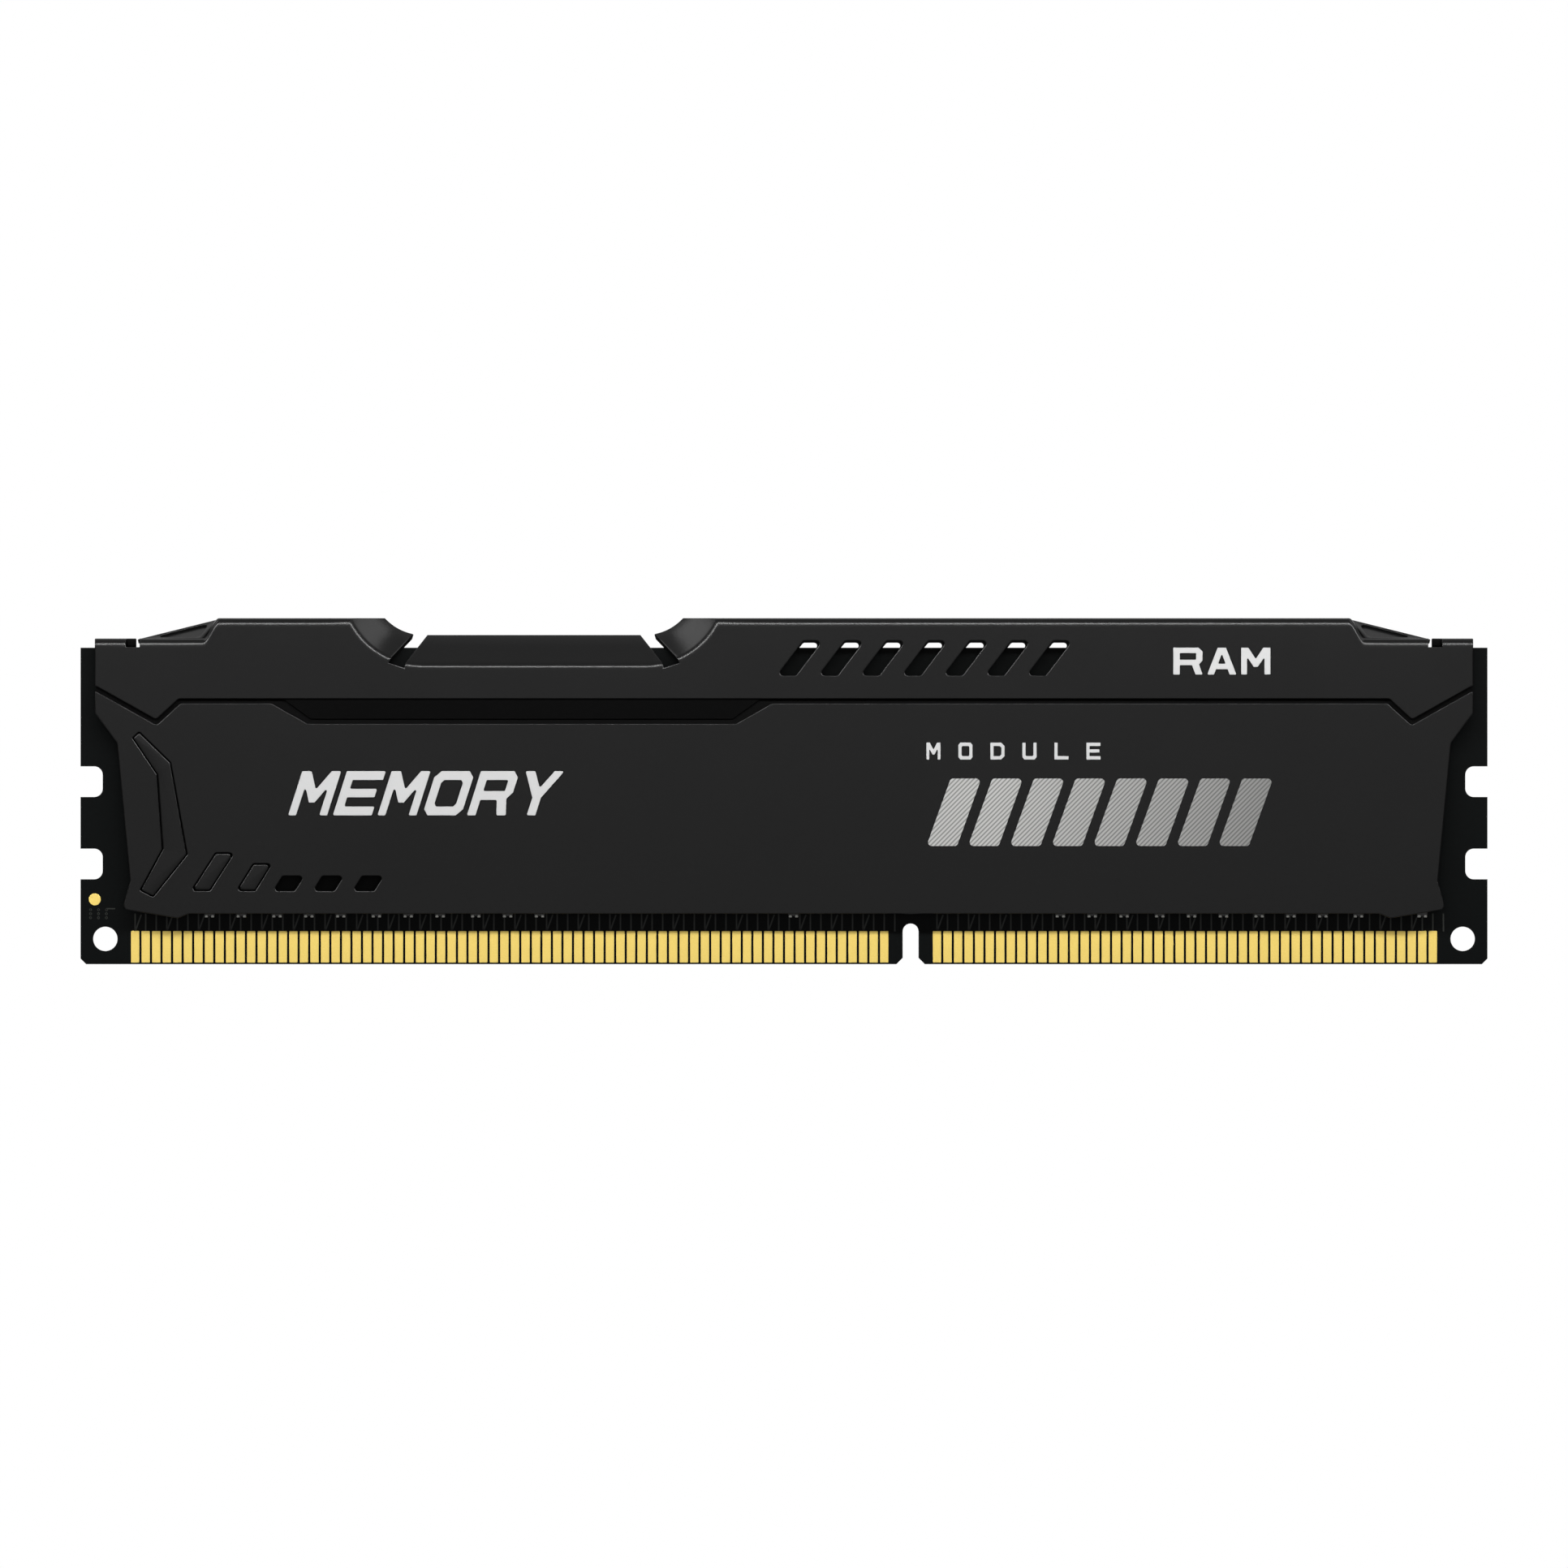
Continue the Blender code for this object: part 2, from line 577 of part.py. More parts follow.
def under_sheet(cutters):
    """The room under the sheet for the board, the chips and the pad."""
    roof = RIDGE_Z - SHEET
    shelf = BOARD_HEIGHT + SHELF_CLEARANCE
    below = -1 * MM
    outline = mirrored([(RAMP_FOOT, roof), (RAMP_FOOT, shelf), (BOARD_LENGTH, shelf), (BOARD_LENGTH, below)])
    room = plate("under_sheet", [outline], -SHEET_INSIDE, 1 * MM, cutters)
    slope = math.atan2(DIP_SLOPE_RISE, SHEET_FACE)
    join_or_cut(room, dip_body("dip_underside", SHEET / math.cos(slope), cutters), "DIFFERENCE")
    for side, label in ((-1, "left"), (1, "right")):
        join_or_cut(room, ramp_body(f"ramp_underside_{label}", side, SHEET, cutters), "DIFFERENCE")
    slot_half = BOARD_FACE + BOARD_SLOT_CLEARANCE
    join_or_cut(room, box("board_slot", (-BOARD_LENGTH, -slot_half, below), (BOARD_LENGTH, slot_half, shelf),
                          cutters), "UNION")
    return room


def make_half(parts, cutters, material):
    """A stamped aluminium half: a face with reliefs, bent over the board along its top."""
    half = plate("front_heat_spreader", [spreader_outline()], -SHEET_FACE, -SEAM / 2, parts, material)
    for side, label in ((-1, "left"), (1, "right")):
        join_or_cut(half, ramp_body(f"ramp_{label}", side, 0, cutters), "DIFFERENCE")
        ends = sorted((side * RAMP_FRONT_FOOT, side * BOARD_END))
        join_or_cut(half, bend_body(f"shelf_bend_{label}", *ends, SHELF_Z, cutters), "DIFFERENCE")
    join_or_cut(half, bend_body("ridge_bend", -RAMP_FRONT_FOOT, RAMP_FRONT_FOOT, RIDGE_Z, cutters), "DIFFERENCE")
    join_or_cut(half, dip_body("finger_dip", 0, cutters), "DIFFERENCE")
    join_or_cut(half, under_sheet(cutters), "DIFFERENCE")
    for cut in dip_cuts(cutters):
        join_or_cut(half, cut, "DIFFERENCE")
    for name, outline in (("groove", groove_outline()), ("window", window_outline())):
        relief = plate(name, [outline], -SHEET_FACE - 1 * MM, -SHEET_FACE + RELIEF_DEPTH, cutters)
        join_or_cut(half, relief, "DIFFERENCE")
    for i, opening in enumerate([*vents(), *ports()]):
        hole = plate(f"opening_{i + 1}", [opening], -SHEET_FACE - 1 * MM, -SHEET_INSIDE + 0.5 * MM, cutters)
        join_or_cut(half, hole, "DIFFERENCE")
    for i, shape in enumerate(badges()):
        raised = plate(f"badge_{i + 1}", [shape], -SHEET_FACE - EMBOSS, -SHEET_FACE + EMBOSS_ROOT, cutters)
        join_or_cut(half, raised, "UNION")
    return as_mesh(half, parts)


def cut_end_shelves(half, width, label, cutters):
    """Opens both end shelves of a half, from the hook notch's inner edge outwards by width."""
    inner = SPREADER_END - NOTCH_START - NOTCH_WIDTH
    for side, place in ((-1, "left"), (1, "right")):
        xs = sorted((side * inner, side * (inner + width)))
        notch = box(
            f"{label}_notch_{place}", (xs[0], -SHEET_FACE - 1 * MM, BOARD_HEIGHT + FIT_GAP),
            (xs[1], 1 * MM, SHELF_Z + 1 * MM), cutters,
        )
        join_or_cut(half, notch, "DIFFERENCE")


def make_spreaders(parts, cutters, material):
    """The back half mirrors the front one. Its end shelves carry hooks that fill the front one's notches."""
    front = make_half(parts, cutters, material)
    back = bpy.data.objects.new("back_heat_spreader", front.data.copy())
    back.matrix_world = front.matrix_world
    parts.objects.link(back)
    cut_end_shelves(front, NOTCH_WIDTH, "front", cutters)
    cut_end_shelves(back, NOTCH_WIDTH - HOOK_WIDTH - HOOK_SIDE_GAP, "back", cutters)
    outer = SPREADER_END - NOTCH_START - HOOK_SIDE_GAP
    for side, place in ((-1, "left"), (1, "right")):
        xs = sorted((side * outer, side * (outer - HOOK_WIDTH)))
        hook = box(
            f"hook_{place}", (xs[0], -SHEET_INSIDE - 0.3 * MM, BOARD_HEIGHT + SHELF_CLEARANCE),
            (xs[1], HOOK_REACH, SHELF_Z), cutters,
        )
        join_or_cut(back, hook, "UNION")
    back = as_mesh(back, parts)
    back.data.transform(Matrix.Diagonal((1, -1, 1, 1)) @ back.matrix_world)
    back.data.flip_normals()
    back.matrix_world = Matrix()


def make_label(parts, material):
    width, height = LABEL_SIZE
    low_z = CHIP_LEVEL - height / 2
    near = SHEET_FACE + FIT_GAP
    box("back_label", (LABEL_X - width / 2, near, low_z),
        (LABEL_X + width / 2, near + LABEL_THICKNESS, low_z + height), parts, material)


def main():
    clear_scene()
    parts = new_collection("memory_module")
    cutters = new_collection("cutters")
    laminate = finish("black_solder_mask", (0.005, 0.005, 0.005), 0.45, 0.0)
    gold = finish("gold_plating", (0.68, 0.50, 0.14), 0.3, 1.0)
    epoxy = finish("black_chip_epoxy", (0.012, 0.012, 0.013), 0.6, 0.0)
    silicone = finish("grey_silicone", (0.25, 0.26, 0.28), 0.8, 0.0)
    ceramic = finish("glazed_ceramic", (0.03, 0.03, 0.035), 0.35, 0.0)
    coated = finish("black_coated_aluminium", (0.014, 0.014, 0.014), 0.5, 0.3)
    paper = finish("label_film", (0.5, 0.5, 0.5), 0.5, 0.0)
    make_board(parts, laminate)
    make_contacts(parts, gold)
    make_chips(parts, epoxy)
    make_thermal_pads(parts, silicone)
    make_small_parts(parts, ceramic, epoxy)
    make_spreaders(parts, cutters, coated)
    make_label(parts, paper)


main()
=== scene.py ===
"""A desktop memory module in a stamped black heat spreader, standing on its contact edge.

The file is laid out as an add-on and run as a script. Each operator makes one group of pieces around the
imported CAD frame, in metres, with the CAD's axes: +X along the board, -Y out of its front, +Z up.
"""

import math

import bmesh
import bpy
from bpy.props import FloatProperty, FloatVectorProperty, IntProperty, PointerProperty, StringProperty
from mathutils import Matrix, Vector


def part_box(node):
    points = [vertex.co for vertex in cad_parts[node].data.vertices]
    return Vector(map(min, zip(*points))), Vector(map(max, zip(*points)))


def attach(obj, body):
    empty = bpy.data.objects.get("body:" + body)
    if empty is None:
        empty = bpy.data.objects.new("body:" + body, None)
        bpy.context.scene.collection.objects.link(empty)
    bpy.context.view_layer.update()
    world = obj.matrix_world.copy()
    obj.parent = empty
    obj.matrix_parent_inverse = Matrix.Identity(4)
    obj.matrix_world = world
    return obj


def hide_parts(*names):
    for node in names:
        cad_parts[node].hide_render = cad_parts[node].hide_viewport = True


bl_info = {
    "name": "Memory Module",
    "version": (1, 0, 0),
    "blender": (4, 5, 0),
    "location": "View3D > Sidebar > Memory Module",
    "description": "Builds a desktop memory module with its heat spreader around a CAD frame",
    "category": "Object",
}

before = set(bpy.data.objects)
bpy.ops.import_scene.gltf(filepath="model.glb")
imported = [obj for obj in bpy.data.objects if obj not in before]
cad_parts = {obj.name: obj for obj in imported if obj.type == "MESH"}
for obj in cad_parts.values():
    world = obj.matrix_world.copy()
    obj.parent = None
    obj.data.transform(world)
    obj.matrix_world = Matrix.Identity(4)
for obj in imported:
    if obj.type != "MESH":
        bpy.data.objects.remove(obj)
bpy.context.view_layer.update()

MM = 0.001
BOARD_LOW, BOARD_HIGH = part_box("circuit_board")
HALF_LOW, HALF_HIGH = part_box("front_heat_spreader")
LONG_LOW, LONG_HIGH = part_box("front_contacts_long_row")
SHORT_LOW, SHORT_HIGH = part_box("front_contacts_short_row")
PAD_LOW, PAD_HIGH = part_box("front_thermal_pad")
CHIP_NODES = sorted(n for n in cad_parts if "memory_chip" in n and "identification" not in n)
ARRAY_NODES = sorted(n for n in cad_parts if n.startswith("resistor_array"))
CAPACITOR_NODES = sorted(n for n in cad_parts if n.startswith("decoupling_capacitor"))

FACE = -HALF_LOW.y - 0.125 * MM   # half the module's depth, without the raised shapes
SEAM = -HALF_HIGH.y               # each half stops this far from the middle plane
END = HALF_HIGH.x                 # the spreader's end
RIDGE = HALF_HIGH.z               # the spreader's top
FOOT = HALF_LOW.z + 0.43 * MM     # the panel's straight lower edge, above its toes
SHELF = BOARD_HIGH.z + 0.87 * MM  # the low flat top at each end
KEY_X = (LONG_HIGH.x + SHORT_LOW.x) / 2

LATCH_LEVELS = (17.3 * MM, 9.5 * MM)
LATCH_RADIUS = 0.8 * MM
KEY_FLARE = 0.6 * MM
HOLE_INSET = 2.35 * MM            # from the board's end to the hole's centre
HOLE_LEVEL = 2.4 * MM
GROOVE_Z = 24.95 * MM             # middle of the sunk line between band and panel
WINDOW_Z = 23.02 * MM             # where that line runs below the long window
VENT_LEFT, VENT_Z = -0.66 * MM, 27.38 * MM
PORT_LEFT, PORT_Z = -48.42 * MM, 6.95 * MM
PORTS, PORT_PITCH = 3, 3.77 * MM
BADGE_GAP = 0.04 * MM             # half the fine line around each raised shape
NOTCH_FLOOR = 30.05 * MM          # lower edge of the notches that the hooks stand in
HOOK_UNDERSIDE = 30.09 * MM
FRONT_NOTCH, BACK_NOTCH = 1.3 * MM, 0.3 * MM   # how wide each half's end notches are


# Colours and nodes


def linear(hex_color):
    """An sRGB hex colour as linear RGBA."""
    channels = [int(hex_color[i:i + 2], 16) / 255 for i in (1, 3, 5)]
    return (*[c / 12.92 if c <= 0.04045 else ((c + 0.055) / 1.055) ** 2.4 for c in channels], 1.0)


def node(tree, kind, inputs=None, **settings):
    """Adds one node. inputs maps each socket to a value or to the output that feeds it."""
    made = tree.nodes.new(kind)
    for key, value in settings.items():
        setattr(made, key, value)
    for key, value in (inputs or {}).items():
        if isinstance(value, bpy.types.NodeSocket):
            tree.links.new(value, made.inputs[key])
        else:
            made.inputs[key].default_value = value
    return made


def new_material(name, **sockets):
    """A Principled material with those socket values, its tree and its shader."""
    made = bpy.data.materials.new(name)
    made.use_nodes = True
    shader = made.node_tree.nodes["Principled BSDF"]
    for key, value in sockets.items():
        shader.inputs[key.replace("_", " ").title().replace("Ior", "IOR")].default_value = value
    made.diffuse_color = shader.inputs["Base Color"].default_value
    return made, made.node_tree, shader


def grain(tree, shader, size, depth, strength, colors):
    """Bumps of a real size in metres, and colour that drifts between two hex colours with them.
    Returns where they lie."""
    place = node(tree, "ShaderNodeTexCoord").outputs["Object"]
    noise = node(tree, "ShaderNodeTexNoise", {"Vector": place, "Scale": 1 / size, "Detail": 3.0})
    bump = node(tree, "ShaderNodeBump", {
        "Height": noise.outputs["Fac"], "Strength": strength, "Distance": depth})
    tree.links.new(bump.outputs["Normal"], shader.inputs["Normal"])
    mix = node(tree, "ShaderNodeMix", {
        "Factor": noise.outputs["Fac"], 6: linear(colors[0]), 7: linear(colors[1])}, data_type="RGBA")
    tree.links.new(mix.outputs[2], shader.inputs["Base Color"])
    return place


def plain_finish(name, color, size, depth, strength, colors, **sockets):
    """A Principled material with those socket values and grain() over it."""
    made, tree, shader = new_material(name, base_color=linear(color), **sockets)
    grain(tree, shader, size, depth, strength, colors)
    return made


def powder_coated_aluminium(finish):
    """Powder coat on stamped sheet: a deep satin black whose fine orange peel breaks up reflections."""
    made, tree, shader = new_material(
        "powder_coated_aluminium", base_color=linear(finish.coat_color), roughness=0.24,
        specular_ior_level=0.21)
    place = grain(tree, shader, 0.22 * MM, 0.02 * MM, 0.3, (finish.coat_color, finish.coat_speck))
    broad = node(tree, "ShaderNodeTexNoise", {"Vector": place, "Scale": 1 / (9 * MM), "Detail": 2.0})
    rough = node(tree, "ShaderNodeMapRange", {"Value": broad.outputs["Fac"], 3: 0.22, 4: 0.27})
    tree.links.new(rough.outputs[0], shader.inputs["Roughness"])
    return made


def sunk_black_coat(finish):
    """The same coat darkened to near black and dull, as painted shade: for the deep lines, the sheet behind the
    openings, the hooks and the rims round the words.
    """
    return plain_finish("sunk_black_coat", "#050505", 0.25 * MM, 0.01 * MM, 0.4, ("#040404", "#070707"),
                        roughness=0.85, specular_ior_level=0.04)


def satin_black_inlay(finish):
    """Smooth black paint in the long window, a shade deeper than the coat around it."""
    return plain_finish("satin_black_inlay", "#030303", 0.3 * MM, 0.006 * MM, 0.3, ("#020202", "#040404"),
                        roughness=0.35, specular_ior_level=0.03)


def black_solder_mask(finish):
    """Cured liquid solder mask over glass laminate: near black with a cool, waxy sheen and a faint weave."""
    color = finish.mask_color
    return plain_finish("black_solder_mask", color, 0.35 * MM, 0.006 * MM, 0.4, (color, "#070909"),
                        roughness=0.3, specular_ior_level=0.055)


def mask_over_copper(finish):
    """The same mask where copper lies under it: a touch lighter and warmer, with a smoother sheen."""
    return plain_finish("mask_over_copper", "#1d1f1c", 0.3 * MM, 0.004 * MM, 0.3, ("#191b18", "#242622"),
                        roughness=0.32, specular_ior_level=0.25)


def glass_laminate_core(finish):
    """Routed edge of the black-core laminate: dull, with the layers of glass cloth running along it."""
    made, tree, shader = new_material(
        "glass_laminate_core", base_color=linear("#14120e"), roughness=0.75, specular_ior_level=0.2)
    place = node(tree, "ShaderNodeTexCoord").outputs["Object"]
    split = node(tree, "ShaderNodeSeparateXYZ", {"Vector": place})
    layers = node(tree, "ShaderNodeMath", {0: split.outputs["Y"], 1: 1 / (0.18 * MM)}, operation="MULTIPLY")
    wave = node(tree, "ShaderNodeMath", {0: layers.outputs[0], 1: 1.0}, operation="PINGPONG")
    mix = node(tree, "ShaderNodeMix", {
        "Factor": wave.outputs[0], 6: linear("#0d0c0a"), 7: linear("#241f16")}, data_type="RGBA")
    tree.links.new(mix.outputs[2], shader.inputs["Base Color"])
    return made


def hard_gold_plating(finish):
    """Hard gold over nickel: a soft yellow mirror with the plating's fine nodules and faint wipe marks."""
    made, tree, shader = new_material(
        "hard_gold_plating", base_color=linear(finish.gold_color), roughness=0.42, metallic=1.0)
    place = grain(tree, shader, 0.14 * MM, 0.006 * MM, 0.45, (finish.gold_color, "#f2d67c"))
    streaks = node(tree, "ShaderNodeMapping", {"Vector": place, "Scale": (1.0, 1.0, 0.12)})
    wipe = node(tree, "ShaderNodeTexNoise", {"Vector": streaks.outputs[0], "Scale": 1 / (0.09 * MM)})
    rough = node(tree, "ShaderNodeMapRange", {"Value": wipe.outputs["Fac"], 3: 0.36, 4: 0.48})
    tree.links.new(rough.outputs[0], shader.inputs["Roughness"])
    return made


def tinned_solder(finish):
    """Reflowed tin solder: a grey metal with small frozen ripples."""
    return plain_finish("tinned_solder", "#b9b9b4", 0.12 * MM, 0.01 * MM, 0.5, ("#a9a9a4", "#c6c6c0"),
                        roughness=0.35, metallic=1.0)


def chip_moulding_compound(finish):
    """Transfer-moulded epoxy full of silica: matt charcoal with a fine sandy grain."""
    return plain_finish("chip_moulding_compound", "#1d1e20", 0.09 * MM, 0.008 * MM, 0.6, ("#191a1c", "#232427"),
                        roughness=0.62, specular_ior_level=0.4)


def fired_ceramic(finish):
    """Fired ceramic of small chip parts under a glaze: smooth, dark and slightly glassy."""
    return plain_finish("fired_ceramic", "#1a1817", 0.2 * MM, 0.004 * MM, 0.3, ("#161413", "#221f1d"),
                        roughness=0.3, coat_weight=0.3)


def filled_silicone(finish):
    """Gap pad of silicone full of alumina: soft blue-grey, matt, with a speckle of filler."""
    return plain_finish("filled_silicone", "#7d858c", 0.3 * MM, 0.03 * MM, 0.6, ("#727a81", "#8d959b"),
                        roughness=0.85, sheen_weight=0.2)


def silver_screen_ink(finish):
    """Screen-printed ink with aluminium flake: light grey, satin, with a soft sparkle."""
    color = finish.ink_color
    return plain_finish("silver_screen_ink", color, 0.1 * MM, 0.004 * MM, 0.4, (color, "#a3a3a3"),
                        roughness=0.5, metallic=0.1)


def hatched_silver_ink(finish):
    """The same ink laid in slanted lines 0.31 mm apart that fade towards the right."""
    made, tree, shader = new_material(
        "hatched_silver_ink", base_color=linear(finish.ink_color), roughness=0.45, metallic=0.2)
    place = node(tree, "ShaderNodeTexCoord").outputs["Object"]
    split = node(tree, "ShaderNodeSeparateXYZ", {"Vector": place})
    slant = node(tree, "ShaderNodeMath", {0: split.outputs["X"], 1: split.outputs["Z"]}, operation="SUBTRACT")
    count = node(tree, "ShaderNodeMath", {0: slant.outputs[0], 1: 1 / (0.44 * MM)}, operation="MULTIPLY")
    lines = node(tree, "ShaderNodeMath", {0: count.outputs[0], 1: 0.5}, operation="PINGPONG")
    fade = node(tree, "ShaderNodeMapRange", {
        "Value": split.outputs["X"], 1: 20 * MM, 2: 47 * MM, 3: 1.0, 4: 0.42})
    light = node(tree, "ShaderNodeMapRange", {"Value": lines.outputs[0], 1: 0.12, 2: 0.3, 3: 0.38, 4: 1.0})
    level = node(tree, "ShaderNodeMath", {0: fade.outputs[0], 1: light.outputs[0]}, operation="MULTIPLY")
    mix = node(tree, "ShaderNodeMix", {
        "Factor": level.outputs[0], 6: linear("#1e1e1e"), 7: linear("#949492")}, data_type="RGBA")
    tree.links.new(mix.outputs[2], shader.inputs["Base Color"])
    bump = node(tree, "ShaderNodeBump", {"Height": lines.outputs[0], "Strength": 0.4, "Distance": 0.02 * MM})
    tree.links.new(bump.outputs["Normal"], shader.inputs["Normal"])
    return made


def label_film(finish):
    """Matt polyester film with a white print coat: even, with a faint paper-like tooth."""
    return plain_finish("label_film", "#d6d6d2", 0.15 * MM, 0.005 * MM, 0.4, ("#d0d0cc", "#dcdcd8"),
                        roughness=0.55)


def label_print(finish):
    """Thermal print on the label: soft black with slightly uneven cover."""
    return plain_finish("label_print", "#1c1c1e", 0.1 * MM, 0.003 * MM, 0.3, ("#18181a", "#2a2a2c"),
                        roughness=0.6)


FINISHES = (
    powder_coated_aluminium, sunk_black_coat, satin_black_inlay, black_solder_mask, mask_over_copper,
    glass_laminate_core, hard_gold_plating, tinned_solder, chip_moulding_compound, fired_ceramic,
    filled_silicone, silver_screen_ink, hatched_silver_ink, label_film, label_print,
)


def material(name):
    """A finish that MEMORY_OT_finishes has made."""
    return bpy.data.materials[name]


# Shapes


def arc(center, radius, start, end, steps):
    """Points on a circle from the angle start to the angle end, in degrees."""
    angles = [math.radians(start + (end - start) * i / steps) for i in range(steps + 1)]
    return [(center[0] + radius * math.cos(a), center[1] + radius * math.sin(a)) for a in angles]


def rounded(corners, radius, steps=4):
    """The outline with each corner replaced by an arc. radius is one value or one for each corner."""
    radii = radius if isinstance(radius, (list, tuple)) else [radius] * len(corners)
    points = []
    for i, corner in enumerate(corners):
        here = Vector(corner)
        if not radii[i]:
            points.append(tuple(here))
            continue
        back = (Vector(corners[i - 1]) - here).normalized()
        ahead = (Vector(corners[(i + 1) % len(corners)]) - here).normalized()
        half = back.angle(ahead) / 2
        middle = here + (back + ahead).normalized() * radii[i] / math.sin(half)
        first = here + back * radii[i] / math.tan(half) - middle
        last = here + ahead * radii[i] / math.tan(half) - middle
        turn = first.angle_signed(last)
        for k in range(steps + 1):
            spoke = first.copy()
            spoke.rotate(Matrix.Rotation(-turn * k / steps, 2))
            points.append(tuple(middle + spoke))
    return points


def slanted(left, bottom, width, height, slant):
    """A parallelogram that leans towards +X."""
    return [(left, bottom), (left + width, bottom),
            (left + width + slant, bottom + height), (left + slant, bottom + height)]


def rectangle(left, bottom, right, top):
    """A rectangle's corners, given its four sides."""
    return [(left, bottom), (right, bottom), (right, top), (left, top)]


def offset_path(points, distance):
    """The open path moved to its left by distance, with mitred corners."""
    steps = [(Vector(b) - Vector(a)).normalized() for a, b in zip(points, points[1:])]
    moved = []
    for i, point in enumerate(points):
        normals = [Vector((-s.y, s.x)) for s in (steps[max(i - 1, 0)], steps[min(i, len(steps) - 1)])]
        middle = (normals[0] + normals[1]).normalized()
        moved.append(tuple(Vector(point) + middle * distance / middle.dot(normals[0])))
    return moved


def height_on(path, x):
    """The height of a path that runs along X, at x."""
    ordered = sorted(path)
    for (x0, z0), (x1, z1) in zip(ordered, ordered[1:]):
        if x <= x1:
            return z0 + (z1 - z0) * (x - x0) / (x1 - x0)
    return ordered[-1][1]


def new_object(name, mesh):
    """An object of that data, in the scene."""
    made = bpy.data.objects.new(name, mesh)
    bpy.context.scene.collection.objects.link(made)
    return made


def plain_mesh(obj, turn=Matrix()):
    """Turns the evaluated object into a plain mesh object at the origin and removes the old one."""
    bpy.context.view_layer.update()
    name = obj.name
    evaluated = obj.evaluated_get(bpy.context.evaluated_depsgraph_get())
    mesh = bpy.data.meshes.new_from_object(evaluated)
    mesh.transform(turn @ obj.matrix_world)
    bpy.data.objects.remove(obj)
    return new_object(name, mesh)


def plate(name, outlines, front, back, rim=0.0, rim_steps=2, grow=0.0):
    """A flat piece in X and Z between two depths in Y, with rounded rims, its outline moved out by grow.
    The later outlines are holes."""
    curve = bpy.data.curves.new(name, "CURVE")
    curve.dimensions = "2D"
    curve.fill_mode = "BOTH"
    curve.extrude = abs(back - front) / 2 - rim
    curve.bevel_depth = rim
    curve.bevel_resolution = rim_steps
    curve.offset = grow - rim
    for outline in outlines:
        spline = curve.splines.new("POLY")
        spline.points.add(len(outline) - 1)
        for point, (x, z) in zip(spline.points, outline):
            point.co = (x, z, 0, 1)
        spline.use_cyclic_u = True
    flat = new_object(name, curve)
    flat.rotation_euler = (math.pi / 2, 0, 0)
    flat.location = (0, (front + back) / 2, 0)
    made = plain_mesh(flat)
    weld(made, 1e-7)
    return made


def weld(obj, distance):
    """Merges points closer than distance and turns the faces outwards."""
    work = bmesh.new()
    work.from_mesh(obj.data)
    bmesh.ops.remove_doubles(work, verts=work.verts, dist=distance)
    bmesh.ops.recalc_face_normals(work, faces=work.faces)
    work.to_mesh(obj.data)
    work.free()


def joined(name, pieces):
    """One object of several, shaded smooth over its bends."""
    with bpy.context.temp_override(
            active_object=pieces[0], object=pieces[0],
            selected_objects=pieces, selected_editable_objects=pieces):
        bpy.ops.object.join()
    made = pieces[0]
    made.name = name
    shade(made)
    return made


def shade(obj, angle=32):
    """Smooth bends, with sharp shading where a rounded rim meets a flat face."""
    mesh = obj.data
    mesh.shade_smooth()
    mesh.set_sharp_from_angle(angle=math.radians(angle))
    beside = {}
    for face in mesh.polygons:
        for key in face.edge_keys:
            beside.setdefault(key, []).append(face.normal)
    for edge in mesh.edges:
        normals = beside.get(edge.key, ())
        if len(normals) == 2 and normals[0].dot(normals[1]) < 0.98 and max(abs(n.y) for n in normals) > 0.99999:
            edge.use_edge_sharp = True


def paint(obj, *materials):
    """Gives the piece these materials, and all of it the first one where there is only one."""
    obj.data.materials.clear()
    if len(materials) == 1:
        for face in obj.data.polygons:
            face.material_index = 0
    for made in materials:
        obj.data.materials.append(made)
    return obj


def mirrored_in_depth(obj, name):
    """A copy of the piece on the other side of the board."""
    mesh = obj.data.copy()
    mesh.transform(Matrix.Diagonal((1, -1, 1, 1)))
    mesh.flip_normals()
    return new_object(name, mesh)


def settle(obj, slot, *nodes):
    """Hands a finished piece to the frame: what it stands for and its body. slot is not used."""
    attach(obj, "root")
    if nodes:
        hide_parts(*nodes)


# Repeats, made with geometry nodes


def repeat_tree():
    """The node group that copies a template object Count times from Start, one Step apart."""
    made = bpy.data.node_groups.get("repeat_in_a_row")
    if made:
        return made
    made = bpy.data.node_groups.new("repeat_in_a_row", "GeometryNodeTree")
    for name, kind in (
            ("Template", "NodeSocketObject"), ("Count", "NodeSocketInt"), ("Start", "NodeSocketVector"),
            ("Step", "NodeSocketVector"), ("Material", "NodeSocketMaterial")):
        made.interface.new_socket(name, in_out="INPUT", socket_type=kind)
    made.interface.new_socket("Geometry", in_out="OUTPUT", socket_type="NodeSocketGeometry")
    given = node(made, "NodeGroupInput")
    line = node(made, "GeometryNodeMeshLine", {
        "Count": given.outputs["Count"], "Start Location": given.outputs["Start"],
        "Offset": given.outputs["Step"]})
    template = node(made, "GeometryNodeObjectInfo", {"Object": given.outputs["Template"]})
    copies = node(made, "GeometryNodeInstanceOnPoints", {
        "Points": line.outputs["Mesh"], "Instance": template.outputs["Geometry"]})
    solid = node(made, "GeometryNodeRealizeInstances", {"Geometry": copies.outputs["Instances"]})
    finish = node(made, "GeometryNodeSetMaterial", {
        "Geometry": solid.outputs["Geometry"], "Material": given.outputs["Material"]})
    node(made, "NodeGroupOutput", {"Geometry": finish.outputs["Geometry"]})
    return made


